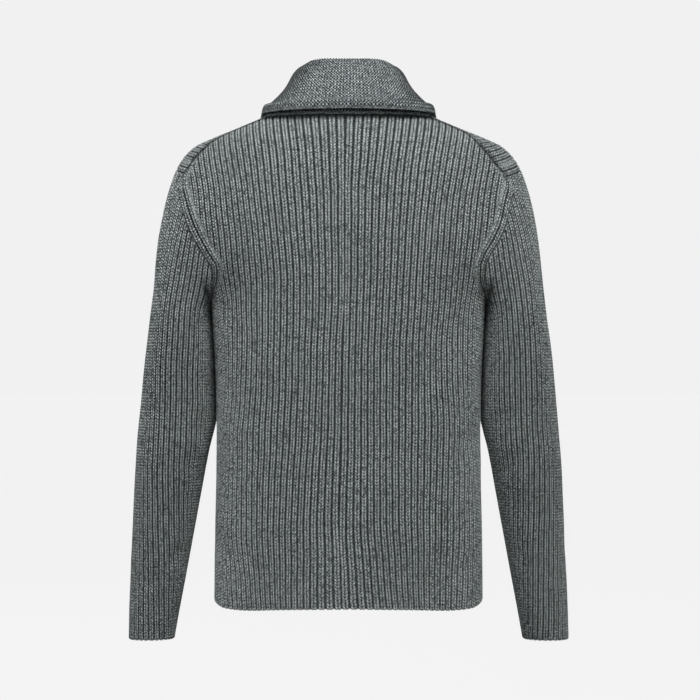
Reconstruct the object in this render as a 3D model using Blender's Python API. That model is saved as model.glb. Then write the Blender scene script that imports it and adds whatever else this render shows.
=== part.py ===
"""Shawl collar cardigan in chunky rib knit, filled out as worn, with nobody in it.

Metres, +Z up. The front of the garment faces -Y, so the wearer's left is +X.
The origin is between the shoulders, level with the side of the neck, where the wearer carries it.
Each panel is a wall of cloth on one shared form of the torso, so that neighbours meet
edge to edge along their seams. Tables are in millimetres, one row for each section.
"""

import math

import bpy
import numpy as np

MILLIMETRE = 0.001

# Driving sizes, in millimetres
WALL = 3.0                    # rib knit
COLLAR_WALL = 5.0             # moss stitch collar
BAND_WALL = 4.0               # moss stitch button bands
SEAM_GAP = 0.36               # between two pieces at a seam
HEM_Z = -675.0                # centre of the hem
ARMPIT_Z = -248.0             # also the bottom of the V, where the collar meets the bands
CUFF_Z = -733.0
RIDGE_NECK_Z = 4.5            # the shoulder's top line, at the neck
RIDGE_TIP_Z = -73.0           # and where the armhole crosses it
CORNER_REACH = 30.0            # each side of the shoulder seam, where the cap rounds its corner
NECKLINE_Z = -3.0             # back neck seam, nearly level
NECK_HALF_WIDTH = 113.0
BAND_WIDTH = 36.0
BUTTON_DIAMETER = 20.0
BUTTON_THICKNESS = 3.6
BUTTON_COUNT = 5
TOP_BUTTON_Z = -266.0
BUTTON_PITCH = 94.0

# How finely the walls are divided
NECK_COLUMNS = 5              # back panel, from the centre to the end of the neckline
SHOULDER_COLUMNS = 8          # along each shoulder seam, shared by back and front
BODY_ROWS = 8                 # hem to armpit
BACK_ARMHOLE_ROWS = 10
FRONT_ARMHOLE_ROWS = 18
CAP_ROWS = 6                  # sleeve, armhole to upper arm
SLEEVE_ROWS = 7               # sleeve, upper arm to cuff
FORM_STEP = 2.0

# Horizontal sections of the torso. Above the armpit the form is wider than the panels:
# the armhole cuts its sides away.
TORSO = (
    # z, half_width, side_y, back, front, squareness
    (40, 60, 4, 48, 52, 2.0),
    (12, 98, 5, 67, 70, 2.0),
    (0, 119.5, 5, 78, 80, 2.05),
    (-17, 158, 6, 88, 90, 2.15),
    (-31, 192, 7, 94, 98, 2.2),
    (-42, 215, 7, 98, 102, 2.2),
    (-64, 235, 8, 101, 107, 2.25),
    (-90, 246, 9, 103, 112, 2.3),
    (-120, 252, 10, 104, 117, 2.35),
    (-150, 253, 11, 104, 121, 2.4),
    (-180, 243, 13, 102, 124, 2.4),
    (-210, 221, 15, 99, 126, 2.45),
    (-235, 200, 16, 96, 127, 2.5),
    (-255, 191, 17, 94, 127, 2.55),
    (-300, 187, 19, 90, 125, 2.6),
    (-400, 182.8, 20, 86, 120, 2.65),
    (-500, 183.6, 20, 84, 117, 2.7),
    (-600, 185.4, 20, 84, 117, 2.75),
    (-700, 186.5, 20, 85, 118, 2.75),
)

# Edge of the armhole, as seen from behind and from in front, upwards from the armpit.
# The back's edge turns in at the top, to the end of the seam behind the shoulder.
ARMHOLE = (
    # z, back_left_x, back_right_x, front_x
    (-242, 189, 189, 189.5),
    (-228, 186, 186.5, 187),
    (-214, 187, 187.3, 189),
    (-200, 196, 192, 195.5),
    (-178, 209.5, 205.3, 206.5),
    (-155, 221, 215.7, 217),
    (-128, 230, 222, 227),
    (-107, 234, 226.5, 233),
    (-97, 234, 226, 235),
)
ARMHOLE_FRONT_END = (-79, 239)

# Seam behind the shoulder, from the neck outwards: the front panels reach over the
# top of the shoulder to it, further on the right than on the left.
SHOULDER_SEAM = {
    # side: (x, z)
    1: ((113, -0.4), (150, -15.6), (172, -26.5), (189, -37), (200, -47.5), (209, -56),
        (218, -68), (225, -82)),
    -1: ((113, -0.4), (140, -12.6), (162.5, -24), (171.5, -33), (186.5, -50), (202, -69),
         (210, -79), (215.7, -87.4)),
}

# Front edge of the front panels: the V, then straight down beside the band
FRONT_EDGE = (
    # z, x
    (4.5, 114),
    (-10, 108),
    (-50, 90),
    (-100, 69),
    (-160, 43),
    (-215, 23),
    (-248, 18),
    (-700, 18),
)

# Lines across the front above the armpit, from its V edge to its armhole, before it
# turns over the top of the shoulder; FRONT_KNOTS adds that top line and the seam behind.
FRONT_ROWS = (
    # inner_z, outer_z, straight (0: columns share the line by length around, 1: by x)
    (-248, -248, 0),
    (-246, -245.5, 0),
    (-241, -239, 0),
    (-230, -228, 0),
    (-205, -205, 0),
    (-160, -160, 0),
    (-108, -116, 0.3),
    (-55, -92, 0.7),
    (-14, -79, 1),
)
FRONT_KNOTS = (0.0, 0.055, 0.11, 0.17, 0.25, 0.36, 0.47, 0.58, 0.69, 0.83, 1.0)

# Horizontal sections of a sleeve, from the upper arm to the cuff
SLEEVE = (
    # z, inner_x, outer_x, middle_y, half_depth, squareness
    (-290, 190.5, 278, -6, 70, 2.3),
    (-350, 187.2, 286.2, -13, 66, 2.3),
    (-412, 185.5, 293.3, -20, 61, 2.3),
    (-468, 197.2, 298.5, -24, 57, 2.3),
    (-546, 211.9, 303.5, -30, 51, 2.25),
    (-636, 228.8, 308.2, -37, 44, 2.2),
    (-700, 241, 311.3, -41, 39, 2.2),
    (-733, 247, 312.3, -43, 36.5, 2.2),
)

# The hem, by the distance around from the side seam
HEM = (
    # away, z
    (0, -668),
    (25, -672),
    (55, -678),
    (85, -679),
    (140, -677),
    (260, -675),
)

# The collar's middle surface, at distances along its seam from the centre back to the
# bottom of the V: its fold, its free edge, how far the stand is pressed in and the fall
# bulges out, and how tightly it is rolled over (0 is flat).
COLLAR = (
    # along, fold_x, fold_y, fold_z, edge_x, edge_y, edge_z, hollow, bulge, roll
    (0, 0, 62, 72, 0, 101, 7, 3, 4, 1),
    (63, 47, 50, 73, 66, 90, 7, 5, 4, 1),
    (106, 63, 28, 66, 101, 62, 7, 10, 0, 1),
    (135, 68, 12, 60, 114.5, 33, 7, 14, -3, 1),
    (165, 69, -8, 52, 117.5, -4, 8, 14, -4, 1),
    (218, 63, -46, 34, 125, -51, -6, 9, -2, 1),
    (249, 58, -68, 14, 128, -75, -27, 5, 2, 1),
    (278, 51, -88, -10, 125, -89, -49, 2, 5, 1),
    (307, 45, -104, -40, 119, -97.5, -76, 0, 6, 1),
    (336, 38, -113, -70, 108, -104.5, -101, 0, 6, 1),
    (363, 31, -119, -102, 94, -109.5, -126, 0, 6, 1),
    (389, 25, -122, -132, 79, -114, -149, 0, 5, 1),
    (412, 20, -123.5, -158, 64, -116.5, -170, 0, 4, 1),
    (434, 14, -124.5, -182, 49, -118.5, -190, 0, 3, 0.9),
    (457, 9, -125, -206, 28, -123, -209, 0, 2, 0.7),
    (480, 5, -118, -230, 2, -121, -231, 0, 0, 0.3),
    (497, 3, -112.2, -248, -17.5, -112.0, -248, 0, 0, 0),
)
COLLAR_LENGTH = COLLAR[-1][0]
ROLL_RADIUS = 4.5
EDGE_SWELL = 1.5              # the collar's free edge is thicker by this much on each side

# The right lapel passes under the left one at the bottom of the V
TUCK = (
    # along, seam, edge
    (0, 0, 0),
    (430, 0, 0),
    (468, 3, 7),
    (485, 3.5, 9),
    (497, 3.0, 6.3),
)

# Each button band's outer face, proud of the torso's form: the left one lies on the right
BANDS = {
    # name: (at its seam, at its free edge)
    "band_left": (2.5, 3.8),
    "band_right": (-0.5, -2.5),
}


def smooth_curve(knots, values):
    """A curve through every knot that never overshoots between two of them."""
    order = np.argsort(knots)
    x = np.asarray(knots, float)[order]
    y = np.asarray(values, float)[order]
    step = np.diff(x)
    rise = np.diff(y) / step
    slope = np.zeros(len(x))
    slope[0], slope[-1] = rise[0], rise[-1]
    for i in range(1, len(x) - 1):
        if rise[i - 1] * rise[i] > 0:
            before = 2 * step[i] + step[i - 1]
            after = step[i] + 2 * step[i - 1]
            slope[i] = (before + after) / (before / rise[i - 1] + after / rise[i])

    def at(query):
        q = np.clip(np.asarray(query, float), x[0], x[-1])
        i = np.clip(np.searchsorted(x, q) - 1, 0, len(step) - 1)
        t = (q - x[i]) / step[i]
        return ((1 + 2 * t) * (1 - t) ** 2 * y[i] + t * (1 - t) ** 2 * step[i] * slope[i]
                + t * t * (3 - 2 * t) * y[i + 1] + t * t * (t - 1) * step[i] * slope[i + 1])

    return at


def columns_of(table, *names):
    """One smooth curve for each column after the first, which holds the knots."""
    rows = np.array(table, float)
    return {name: smooth_curve(rows[:, 0], rows[:, i + 1]) for i, name in enumerate(names)}


def unit(vectors):
    return vectors / np.maximum(np.linalg.norm(vectors, axis=-1, keepdims=True), 1e-9)


def blend(a, b, t):
    return a + (b - a) * t


def ease(t):
    t = np.clip(t, 0, 1)
    return t * t * (3 - 2 * t)


def signed_power(values, power):
    return np.sign(values) * np.abs(values) ** power


# ---------------------------------------------------------------- the torso's form

class Form:
    """The torso's outer face, read at a height z and a distance q around from the side.

    q is measured along the section: negative towards the back, positive towards the front.
    """

    def __init__(self):
        section = columns_of(TORSO, "half_width", "side_y", "back", "front", "squareness")
        self.levels = np.arange(-700, 30 + FORM_STEP, FORM_STEP)
        self.spans = np.arange(-350, 370 + FORM_STEP, FORM_STEP)
        turns = math.pi / 2 * np.linspace(1.2, -1.2, 481)
        back_end, side, front_end = 40, 240, 440
        self.x = np.zeros((len(self.levels), len(self.spans)))
        self.y = np.zeros_like(self.x)
        self.to_back = np.zeros(len(self.levels))
        self.to_front = np.zeros(len(self.levels))
        for row, z in enumerate(self.levels):
            power = 2 / section["squareness"](z)
            depth = np.where(turns > 0, section["back"](z), section["front"](z))
            x = section["half_width"](z) * signed_power(np.cos(turns), power)
            y = section["side_y"](z) + depth * signed_power(np.sin(turns), power)
            around = np.concatenate(([0], np.cumsum(np.hypot(np.diff(x), np.diff(y)))))
            q = around - around[side]
            self.x[row] = np.interp(self.spans, q, x)
            self.y[row] = np.interp(self.spans, q, y)
            self.to_back[row] = -q[back_end]
            self.to_front[row] = q[front_end]

    def back_length(self, z):
        return np.interp(z, self.levels, self.to_back)

    def front_length(self, z):
        return np.interp(z, self.levels, self.to_front)

    def point(self, q, z):
        """Points of the outer face, as an array (..., 3)."""
        q, z = np.broadcast_arrays(np.asarray(q, float), np.asarray(z, float))
        row = np.clip((z - self.levels[0]) / FORM_STEP, 0, len(self.levels) - 1.001)
        column = np.clip((q - self.spans[0]) / FORM_STEP, 0, len(self.spans) - 1.001)
        i, j = row.astype(int), column.astype(int)
        u, v = row - i, column - j

        def read(grid):
            near = blend(grid[i, j], grid[i, j + 1], v)
            far = blend(grid[i + 1, j], grid[i + 1, j + 1], v)
            return blend(near, far, u)

        return np.stack([read(self.x), read(self.y), z], axis=-1)

    def normal(self, q, z):
        """Outward normals at the same places."""
        reach = 2 * FORM_STEP
        around = self.point(q + reach, z) - self.point(q - reach, z)
        up = self.point(q, z + reach) - self.point(q, z - reach)
        return unit(np.cross(up, around))

    def q_at_x(self, x, z, towards):
        """The distance around at which the section passes x, on the back or the front."""
        if towards == "back":
            span = np.linspace(-self.back_length(z), 0, 400)
        else:
            span = np.linspace(self.front_length(z), 0, 400)
        return float(np.interp(x, self.point(span, z)[:, 0], span))


form = Form()


# ---------------------------------------------------------------- seam lines on the form

def armhole_q(z, column, towards, end):
    """Distance around of the armhole's edge, from the side seam at the armpit to its end.

    The end is the (z, x) where the edge stops.
    """
    place = ("back_left", "back_right", "front").index(column) + 1
    knots = [(row[0], row[place]) for row in ARMHOLE if row[0] < end[0] - 6] + [end]
    edge = columns_of(knots, "x")["x"]
    first = knots[0][0]
    q = form.q_at_x(float(edge(max(z, first))), max(z, first), towards)
    rise = (z - ARMPIT_Z) / (first - ARMPIT_Z)
    return q * math.sqrt(max(0.0, min(1.0, rise)))


class ShoulderSeam:
    """The seam behind one shoulder, with its points found by their share of its length."""

    def __init__(self, side):
        rows = np.array(SHOULDER_SEAM[side], float)
        fine_x = np.linspace(rows[0, 0], rows[-1, 0], 200)
        self.height = smooth_curve(rows[:, 0], rows[:, 1])
        fine_z = self.height(fine_x)
        self.end_x, self.end_z = rows[-1]
        q = np.array([form.q_at_x(x, z, "back") for x, z in zip(fine_x, fine_z)])
        points = form.point(q, fine_z)
        length = np.concatenate(([0], np.cumsum(np.linalg.norm(np.diff(points, axis=0), axis=1))))
        self.share = length / length[-1]
        self.q = q
        self.z = fine_z

    def at(self, share):
        """Distance around and height of the seam's points."""
        return np.interp(share, self.share, self.q), np.interp(share, self.share, self.z)


def ridge_heights(shares):
    """Heights on the top line of the shoulder, by their share of its length."""
    z = np.linspace(RIDGE_NECK_Z, RIDGE_TIP_Z, 200)
    points = form.point(0.0, z)
    length = np.concatenate(([0], np.cumsum(np.linalg.norm(np.diff(points, axis=0), axis=1))))
    return np.interp(shares, length / length[-1], z)


def hem_height(q):
    return float(columns_of(HEM, "z")["z"](abs(q)))


def body_heights(hem):
    """Heights of the rows from a point of the hem to the armpit, closer near the armpit."""
    return blend(hem, ARMPIT_Z, 1 - (1 - np.linspace(0, 1, BODY_ROWS + 1)) ** 1.3)


# ---------------------------------------------------------------- panels, as grids of (q, z)

def back_column(share, side, seam):
    """One column of the back, from hem to top edge: q and z at every row.

    share is 0 at the centre back, 1 at the side seam and armhole.
    """
    column = "back_left" if side > 0 else "back_right"
    edge_q = form.q_at_x(seam.end_x, seam.end_z, "back")
    edge_length = form.back_length(seam.end_z) + edge_q

    def q_at(z):
        whole = form.back_length(z)
        if z <= ARMPIT_Z:
            length = whole
        elif z <= seam.end_z:
            length = whole + armhole_q(z, column, "back", (seam.end_z, seam.end_x))
        else:
            length = edge_length + 0.12 * (z - seam.end_z)
        return 0.0 if share == 1 and z <= ARMPIT_Z else share * length - whole

    def above_top(z):
        x = float(form.point(q_at(z), z)[0])
        top = NECKLINE_Z + 2.6 * (x / NECK_HALF_WIDTH) ** 2 if x < NECK_HALF_WIDTH else seam.height(x)
        return z - float(top)

    low, high = seam.end_z - 1.0, 12.0
    for _ in range(40):
        middle = 0.5 * (low + high)
        if above_top(middle) > 0:
            high = middle
        else:
            low = middle
    top_z = seam.end_z if share == 1 else 0.5 * (low + high)

    hem_q = q_at(HEM_Z)
    above = blend(ARMPIT_Z, top_z, np.linspace(0, 1, BACK_ARMHOLE_ROWS + 1)[1:] ** 1.9)
    z = np.concatenate((body_heights(hem_height(hem_q)), above))
    return np.array([q_at(level) for level in z]), z


def neckline_share(side, seam):
    """Share of the back's half width that ends on the neckline, the rest on the shoulder."""
    low, high = 0.2, 0.9
    for _ in range(30):
        middle = 0.5 * (low + high)
        q, z = back_column(middle, side, seam)
        if form.point(q[-1], z[-1])[0] < NECK_HALF_WIDTH:
            low = middle
        else:
            high = middle
    return 0.5 * (low + high)


def front_column(share, edge_share, side, seam):
    """One column of a front, from hem over the shoulder to the seam behind it.

    share is 0 at the front edge and 1 at the side; edge_share is where it ends on the seam.
    """
    edge_x = columns_of(FRONT_EDGE, "x")["x"]

    def q_at(z):
        inner = form.q_at_x(float(edge_x(z)), z, "front")
        return blend(inner, 0.0, share)

    body_z = body_heights(hem_height(q_at(HEM_Z)))
    body_q = np.array([q_at(level) for level in body_z])

    over_q, over_z = [], []
    for inner_z, outer_z, straight in FRONT_ROWS:
        inner_x = float(edge_x(inner_z))
        inner_q = form.q_at_x(inner_x, inner_z, "front")
        outer_q = 0.0
        if outer_z > ARMPIT_Z:
            outer_q = armhole_q(outer_z, "front", "front", ARMHOLE_FRONT_END)
        outer_x = float(form.point(outer_q, outer_z)[0])
        level = blend(inner_z, outer_z, share)
        by_x = form.q_at_x(blend(inner_x, outer_x, share), level, "front")
        by_length = blend(inner_q, outer_q, share)
        over_q.append(outer_q if share == 1 else blend(by_length, by_x, straight))
        over_z.append(level)
    seam_q, seam_z = seam.at(edge_share)
    over_q += [0.0, float(seam_q)]
    over_z += [float(ridge_heights(share)), float(seam_z)]
    steps = np.linspace(0, 1, FRONT_ARMHOLE_ROWS + 1)[1:]
    q = np.concatenate((body_q, smooth_curve(FRONT_KNOTS, over_q)(steps)))
    z = np.concatenate((body_z, smooth_curve(FRONT_KNOTS, over_z)(steps)))
    return q, z


def back_panel():
    """Grid of the back's (q, z, side), column by column from right to left."""
    columns = []
    for side in (-1, 1):
        seam = ShoulderSeam(side)
        split = neckline_share(side, seam)
        shares = np.concatenate((np.linspace(0, split, NECK_COLUMNS + 1),
                                 np.linspace(split, 1, SHOULDER_COLUMNS + 1)[1:]))
        half = [back_column(share, side, seam) + (side,) for share in shares]
        columns.extend(half[:0:-1] if side < 0 else half)
    return columns


def front_panel(side):
    """Grid of a front's (q, z, side), column by column from its front edge to its side."""
    seam = ShoulderSeam(side)
    split = neckline_share(side, seam)
    columns = []
    for share in np.linspace(split, 1, SHOULDER_COLUMNS + 1):
        q, z = back_column(share, side, seam)
        end = float(np.interp(-z[-1], -seam.z, seam.share))
        fraction = (share - split) / (1 - split)
        columns.append(front_column(fraction, end, side, seam) + (side,))
    return columns


def on_form(columns):
    """Points and normals of a panel's outer face, rows first."""
    points, normals = [], []
    for q, z, side in columns:
        mirror = np.array([side, 1, 1])
        centre = q <= 0.05 - form.back_length(z)
        flat = np.where(centre[:, None], np.array([0, 1, 1.0]), 1.0)
        points.append(form.point(q, z) * mirror * flat)
        normals.append(unit(form.normal(q, z) * mirror * flat))
    return np.stack(points, axis=1), np.stack(normals, axis=1)


# ---------------------------------------------------------------- walls

def pull_back(edge, inside, gap):
    """Draws an edge back from its seam line, square to it, towards the panel's inside."""
    along = unit(np.gradient(edge, axis=0))
    inward = inside - edge
    inward = inward - along * np.sum(inward * along, axis=-1, keepdims=True)
    return edge + unit(inward) * np.reshape(gap, (-1, 1))


def wall_between(name, outer, inner, material, closed=False):
    """A closed solid between two grids of points, closed round if it is a tube."""
    rows, columns = outer.shape[:2]
    vertices = np.concatenate((outer.reshape(-1, 3), inner.reshape(-1, 3)))
    lift = rows * columns
    last = columns if closed else columns - 1
    faces = []
    for c in range(last):
        a, b = c, (c + 1) % columns
        for _ in range(rows - 1):
            d, e = a + columns, b + columns
            faces.append((a, b, e, d))
            faces.append((lift + a, lift + d, lift + e, lift + b))
            a, b = d, e
        faces.append((c, lift + c, lift + (c + 1) % columns, (c + 1) % columns))
        faces.append((a, b, lift + b, lift + a))
    if not closed:
        for r in range(rows - 1):
            a, d = r * columns, (r + 1) * columns
            faces.append((a, d, lift + d, lift + a))
            b, e = a + columns - 1, d + columns - 1
            faces.append((b, lift + b, lift + e, e))
    triangles = [half for face in faces for half in split(vertices[list(face)], face)]
    return add_solid(name, vertices, triangles, material)


def split(corners, quad):
    """Two triangles from a quad along its shorter diagonal, so that seams match."""
    a, b, c, d = quad
    if np.linalg.norm(corners[2] - corners[0]) <= np.linalg.norm(corners[3] - corners[1]):
        return (a, b, c), (a, c, d)
    return (a, b, d), (b, c, d)


def add_solid(name, vertices, faces, material):
    """An object with its faces pointing out, from points in millimetres."""
    vertices = np.asarray(vertices) * MILLIMETRE
    volume = 0.0
    for face in faces:
        for second, third in zip(face[1:-1], face[2:]):
            volume += np.dot(vertices[face[0]], np.cross(vertices[second], vertices[third]))
    if volume < 0:
        faces = [face[::-1] for face in faces]
    mesh = bpy.data.meshes.new(name)
    mesh.from_pydata(vertices.tolist(), [], faces)
    mesh.materials.append(material)
    mesh.update()
    item = bpy.data.objects.new(name, mesh)
    bpy.context.collection.objects.link(item)
    return item


def material_named(name, colour, roughness):
    material = bpy.data.materials.new(name)
    material.use_nodes = True
    shader = material.node_tree.nodes["Principled BSDF"]
    shader.inputs["Base Color"].default_value = (*colour, 1)
    shader.inputs["Roughness"].default_value = roughness
    shader.inputs["Metallic"].default_value = 0.0
    return material


def grid_normals(grid, closed=False):
    """Normals of a grid, on the side where its rows' direction crossed with its columns' points."""
    down = np.gradient(grid, axis=0)
    if closed:
        around = np.roll(grid, -1, axis=1) - np.roll(grid, 1, axis=1)
    else:
        around = np.gradient(grid, axis=1)
    return unit(np.cross(down, around))


# ---------------------------------------------------------------- where a sleeve joins

class Armhole:
    """The loop round which a sleeve meets the torso, and the wall's direction there."""

    def __init__(self, side, back, front, back_normals, front_normals):
        column, beside = (-1, -2) if side > 0 else (0, 1)
        up_front = slice(BODY_ROWS, None)
        down_back = slice(-2, BODY_ROWS, -1)
        self.side = side
        self.top = round(FRONT_KNOTS[-2] * FRONT_ARMHOLE_ROWS)
        self.points = np.concatenate((front[up_front, -1], back[down_back, column]))
        inside = np.concatenate((front[up_front, -2], back[down_back, beside]))
        normals = np.concatenate((front_normals[up_front, -1], back_normals[down_back, column]))
        self.along = unit(np.roll(self.points, -1, axis=0) - np.roll(self.points, 1, axis=0))
        self.leaving = self.square_to(self.points - inside)
        self.leaving[0] = unit(np.array([0.42 * side, 0, 0.9]))
        self.normals = normals

    def square_to(self, directions):
        """The part of some directions that is square to the loop."""
        level = np.sum(directions * self.along, axis=-1, keepdims=True)
        return unit(directions - level * self.along)

    def join(self, sleeve):
        """The direction of both walls' ends, and how far each is drawn back for the gap."""
        entering = self.square_to(sleeve[1] - sleeve[0])
        through = unit(self.leaving + entering)
        wall = unit(np.cross(self.along, through))
        wall *= np.sign(np.sum(wall * (self.normals + np.array([0, 0, -0.5])), axis=-1,
                               keepdims=True))
        share = np.sum(through * self.leaving, axis=-1)
        return wall, 0.5 * SEAM_GAP / np.maximum(share, 0.3)


def sleeve_ring(z, shares):
    """Points round a sleeve's section, by their share of its length from the inner side."""
    section = columns_of(SLEEVE, "inner_x", "outer_x", "middle_y", "half_depth", "squareness")
    turns = np.linspace(-math.pi, math.pi, 361)
    power = 2 / section["squareness"](z)
    middle = 0.5 * (section["inner_x"](z) + section["outer_x"](z))
    half = 0.5 * (section["outer_x"](z) - section["inner_x"](z))
    x = middle + half * signed_power(np.cos(turns), power)
    y = section["middle_y"](z) + section["half_depth"](z) * signed_power(np.sin(turns), power)
    length = np.concatenate(([0], np.cumsum(np.hypot(np.diff(x), np.diff(y)))))
    length /= length[-1]
    return np.stack([np.interp(shares, length, x), np.interp(shares, length, y),
                     np.full(len(shares), float(z))], axis=-1)


def sleeve_grid(armhole):
    """Outer face of a sleeve: rows from the armhole loop down to the cuff.

    The armhole's top line meets the sleeve's outer line, and the armpit its inner line. The
    first row follows the loop exactly; the others pass its corner at the end of the shoulder
    seam on a smooth curve, so that the cap is round there.
    """
    mirror = np.array([armhole.side, 1, 1])
    away = armhole.points * mirror
    closed = np.concatenate((away, away[:1]))
    length = np.concatenate(([0], np.cumsum(np.linalg.norm(np.diff(closed, axis=0), axis=1))))
    closed_length = length[-1]
    length = length[:-1]
    shares = np.interp(length, (0, length[armhole.top], closed_length), (0, 0.5, 1))
    apart = np.abs(length - length[FRONT_ARMHOLE_ROWS]) > CORNER_REACH

    def past_corner(values):
        return np.stack([smooth_curve(length[apart], values[apart, k])(length)
                         for k in range(3)], axis=-1)

    origin = past_corner(away)
    leaving = unit(past_corner(armhole.leaving)) * mirror
    top_z = SLEEVE[0][0]
    first = sleeve_ring(top_z, shares)
    onwards = (sleeve_ring(top_z - 6.0, shares) - first) / 6.0
    drop = origin[:, 2:3] - top_z
    height = (origin[:, 2:3] - ARMPIT_Z) / (RIDGE_TIP_Z - ARMPIT_Z)
    lean = 0.85 * height
    start = leaving * lean + np.array([0.15, 0, -1.0]) * (1.1 - lean)
    start = unit(start) * drop
    rows = [away]
    for t in np.linspace(0, 1, CAP_ROWS + 1)[1:]:
        rows.append((1 + 2 * t) * (1 - t) ** 2 * origin + t * (1 - t) ** 2 * start
                    + t * t * (3 - 2 * t) * first + t * t * (t - 1) * drop * onwards)
    for z in np.linspace(top_z, CUFF_Z, SLEEVE_ROWS + 1)[1:]:
        rows.append(sleeve_ring(z, shares))
    return np.stack(rows) * mirror


def build_torso_and_sleeves(cloth):
    """The back, both fronts and both sleeves. Returns the back's and fronts' outer faces."""
    back, back_normals = on_form(back_panel())
    grids = {"back": (back, back_normals)}
    for side, hand in ((1, "left"), (-1, "right")):
        grids["front_" + hand] = on_form(front_panel(side))

    outer = {name: grid.copy() for name, (grid, _) in grids.items()}
    walls = {name: normals.copy() for name, (_, normals) in grids.items()}
    half_gap = 0.5 * SEAM_GAP
    for side, hand in ((1, "left"), (-1, "right")):
        name = "front_" + hand
        front, front_normals = grids[name]
        armhole = Armhole(side, back, front, back_normals, front_normals)
        sleeve = sleeve_grid(armhole)
        wall, pull = armhole.join(sleeve)

        own_normals = grid_normals(sleeve, closed=True) * side
        own_normals[0] = wall
        own_normals[1] = unit(own_normals[1] + 0.5 * wall)
        sleeve[0] += unit(sleeve[1] - sleeve[0]) * pull[:, None]
        wall_between("sleeve_" + hand, sleeve, sleeve - WALL * own_normals, cloth, closed=True)

        front_part = slice(0, FRONT_ARMHOLE_ROWS + 1)
        back_part = slice(-1, FRONT_ARMHOLE_ROWS - 1, -1)
        column, beside = (-1, -2) if side > 0 else (0, 1)
        walls[name][BODY_ROWS:, -1] = wall[front_part]
        walls["back"][BODY_ROWS + 1:, column] = wall[back_part]
        walls["back"][BODY_ROWS, column] = wall[0]
        outer[name][BODY_ROWS:, -1] -= armhole.leaving[front_part] * pull[front_part, None]
        outer["back"][BODY_ROWS + 1:, column] -= armhole.leaving[back_part] * pull[back_part, None]
        outer["back"][BODY_ROWS, column] -= armhole.leaving[0] * pull[0]
        below = slice(0, BODY_ROWS + 1)
        outer[name][below, -1] = pull_back(outer[name][below, -1], front[below, -2], half_gap)
        outer["back"][below, column] = pull_back(outer["back"][below, column],
                                                 back[below, beside], half_gap)
        outer[name][:, 0] = pull_back(outer[name][:, 0], front[:, 1], half_gap)
        outer[name][-1] = pull_back(outer[name][-1], front[-2], half_gap)
    outer["back"][-1] = pull_back(outer["back"][-1], back[-2], half_gap)
    for name, grid in outer.items():
        wall_between(name, grid, grid - WALL * walls[name], cloth)
    return grids


# ---------------------------------------------------------------- collar

def smooth_path(points, counts):
    """Catmull-Rom curve through points (n, k, 3) along their first axis, parts of each span."""
    before = np.concatenate((2 * points[:1] - points[1:2], points, 2 * points[-1:] - points[-2:-1]))
    path = []
    for i, count in enumerate(counts):
        p0, p1, p2, p3 = before[i:i + 4]
        for t in np.arange(count) / count:
            path.append(0.5 * (2 * p1 + (p2 - p0) * t + (2 * p0 - 5 * p1 + 4 * p2 - p3) * t ** 2
                               + (3 * p1 - p0 - 3 * p2 + p3) * t ** 3))
    path.append(points[-1])
    return np.stack(path)


def collar_half(side, seam):
    """Middle surface of one half of the collar: rows from its seam over the fold to its edge."""
    curves = columns_of(COLLAR, "fold_x", "fold_y", "fold_z", "edge_x", "edge_y", "edge_z",
                        "hollow", "bulge", "roll")
    mirror = np.array([side, 1, 1])
    root = seam * mirror
    steps = np.linalg.norm(np.diff(root, axis=0), axis=1)
    along = np.concatenate(([0], np.cumsum(steps)))
    along *= COLLAR_LENGTH / along[-1]
    fold = np.stack([curves["fold_" + axis](along) for axis in "xyz"], axis=-1)
    edge = np.stack([curves["edge_" + axis](along) for axis in "xyz"], axis=-1)
    hollow, bulge, roll = (curves[name](along)[:, None] for name in ("hollow", "bulge", "roll"))

    towards_neck = unit(fold * np.array([-1, -1, 0]))
    stand = blend(root, fold, 0.5) + towards_neck * hollow
    fall = blend(fold, edge, 0.5)
    back_down = unit((stand - fold) + (fall - fold) + 1e-6)
    across = fall - stand
    across = across - back_down * np.sum(across * back_down, axis=-1, keepdims=True)
    across = unit(across)
    fall = fall + across * bulge
    turn_in = fold + ROLL_RADIUS * (1.6 * back_down - across)
    turn_out = fold + ROLL_RADIUS * (1.6 * back_down + across)
    near_in = blend(blend(fold, stand, 0.3), turn_in, roll)
    near_out = blend(blend(fold, fall, 0.3), turn_out, roll)
    knots = np.stack([root, stand, near_in, fold, near_out, fall, edge])
    rows = smooth_path(knots, (3, 2, 1, 1, 2, 4))

    tuck = columns_of(TUCK, "seam", "edge")
    if side < 0:
        across_share = np.linspace(0, 1, len(rows))[:, None]
        shift = blend(tuck["seam"](along)[None], tuck["edge"](along)[None], across_share)
        rows[:, :, 1] += shift
    return rows * mirror, along


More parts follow.
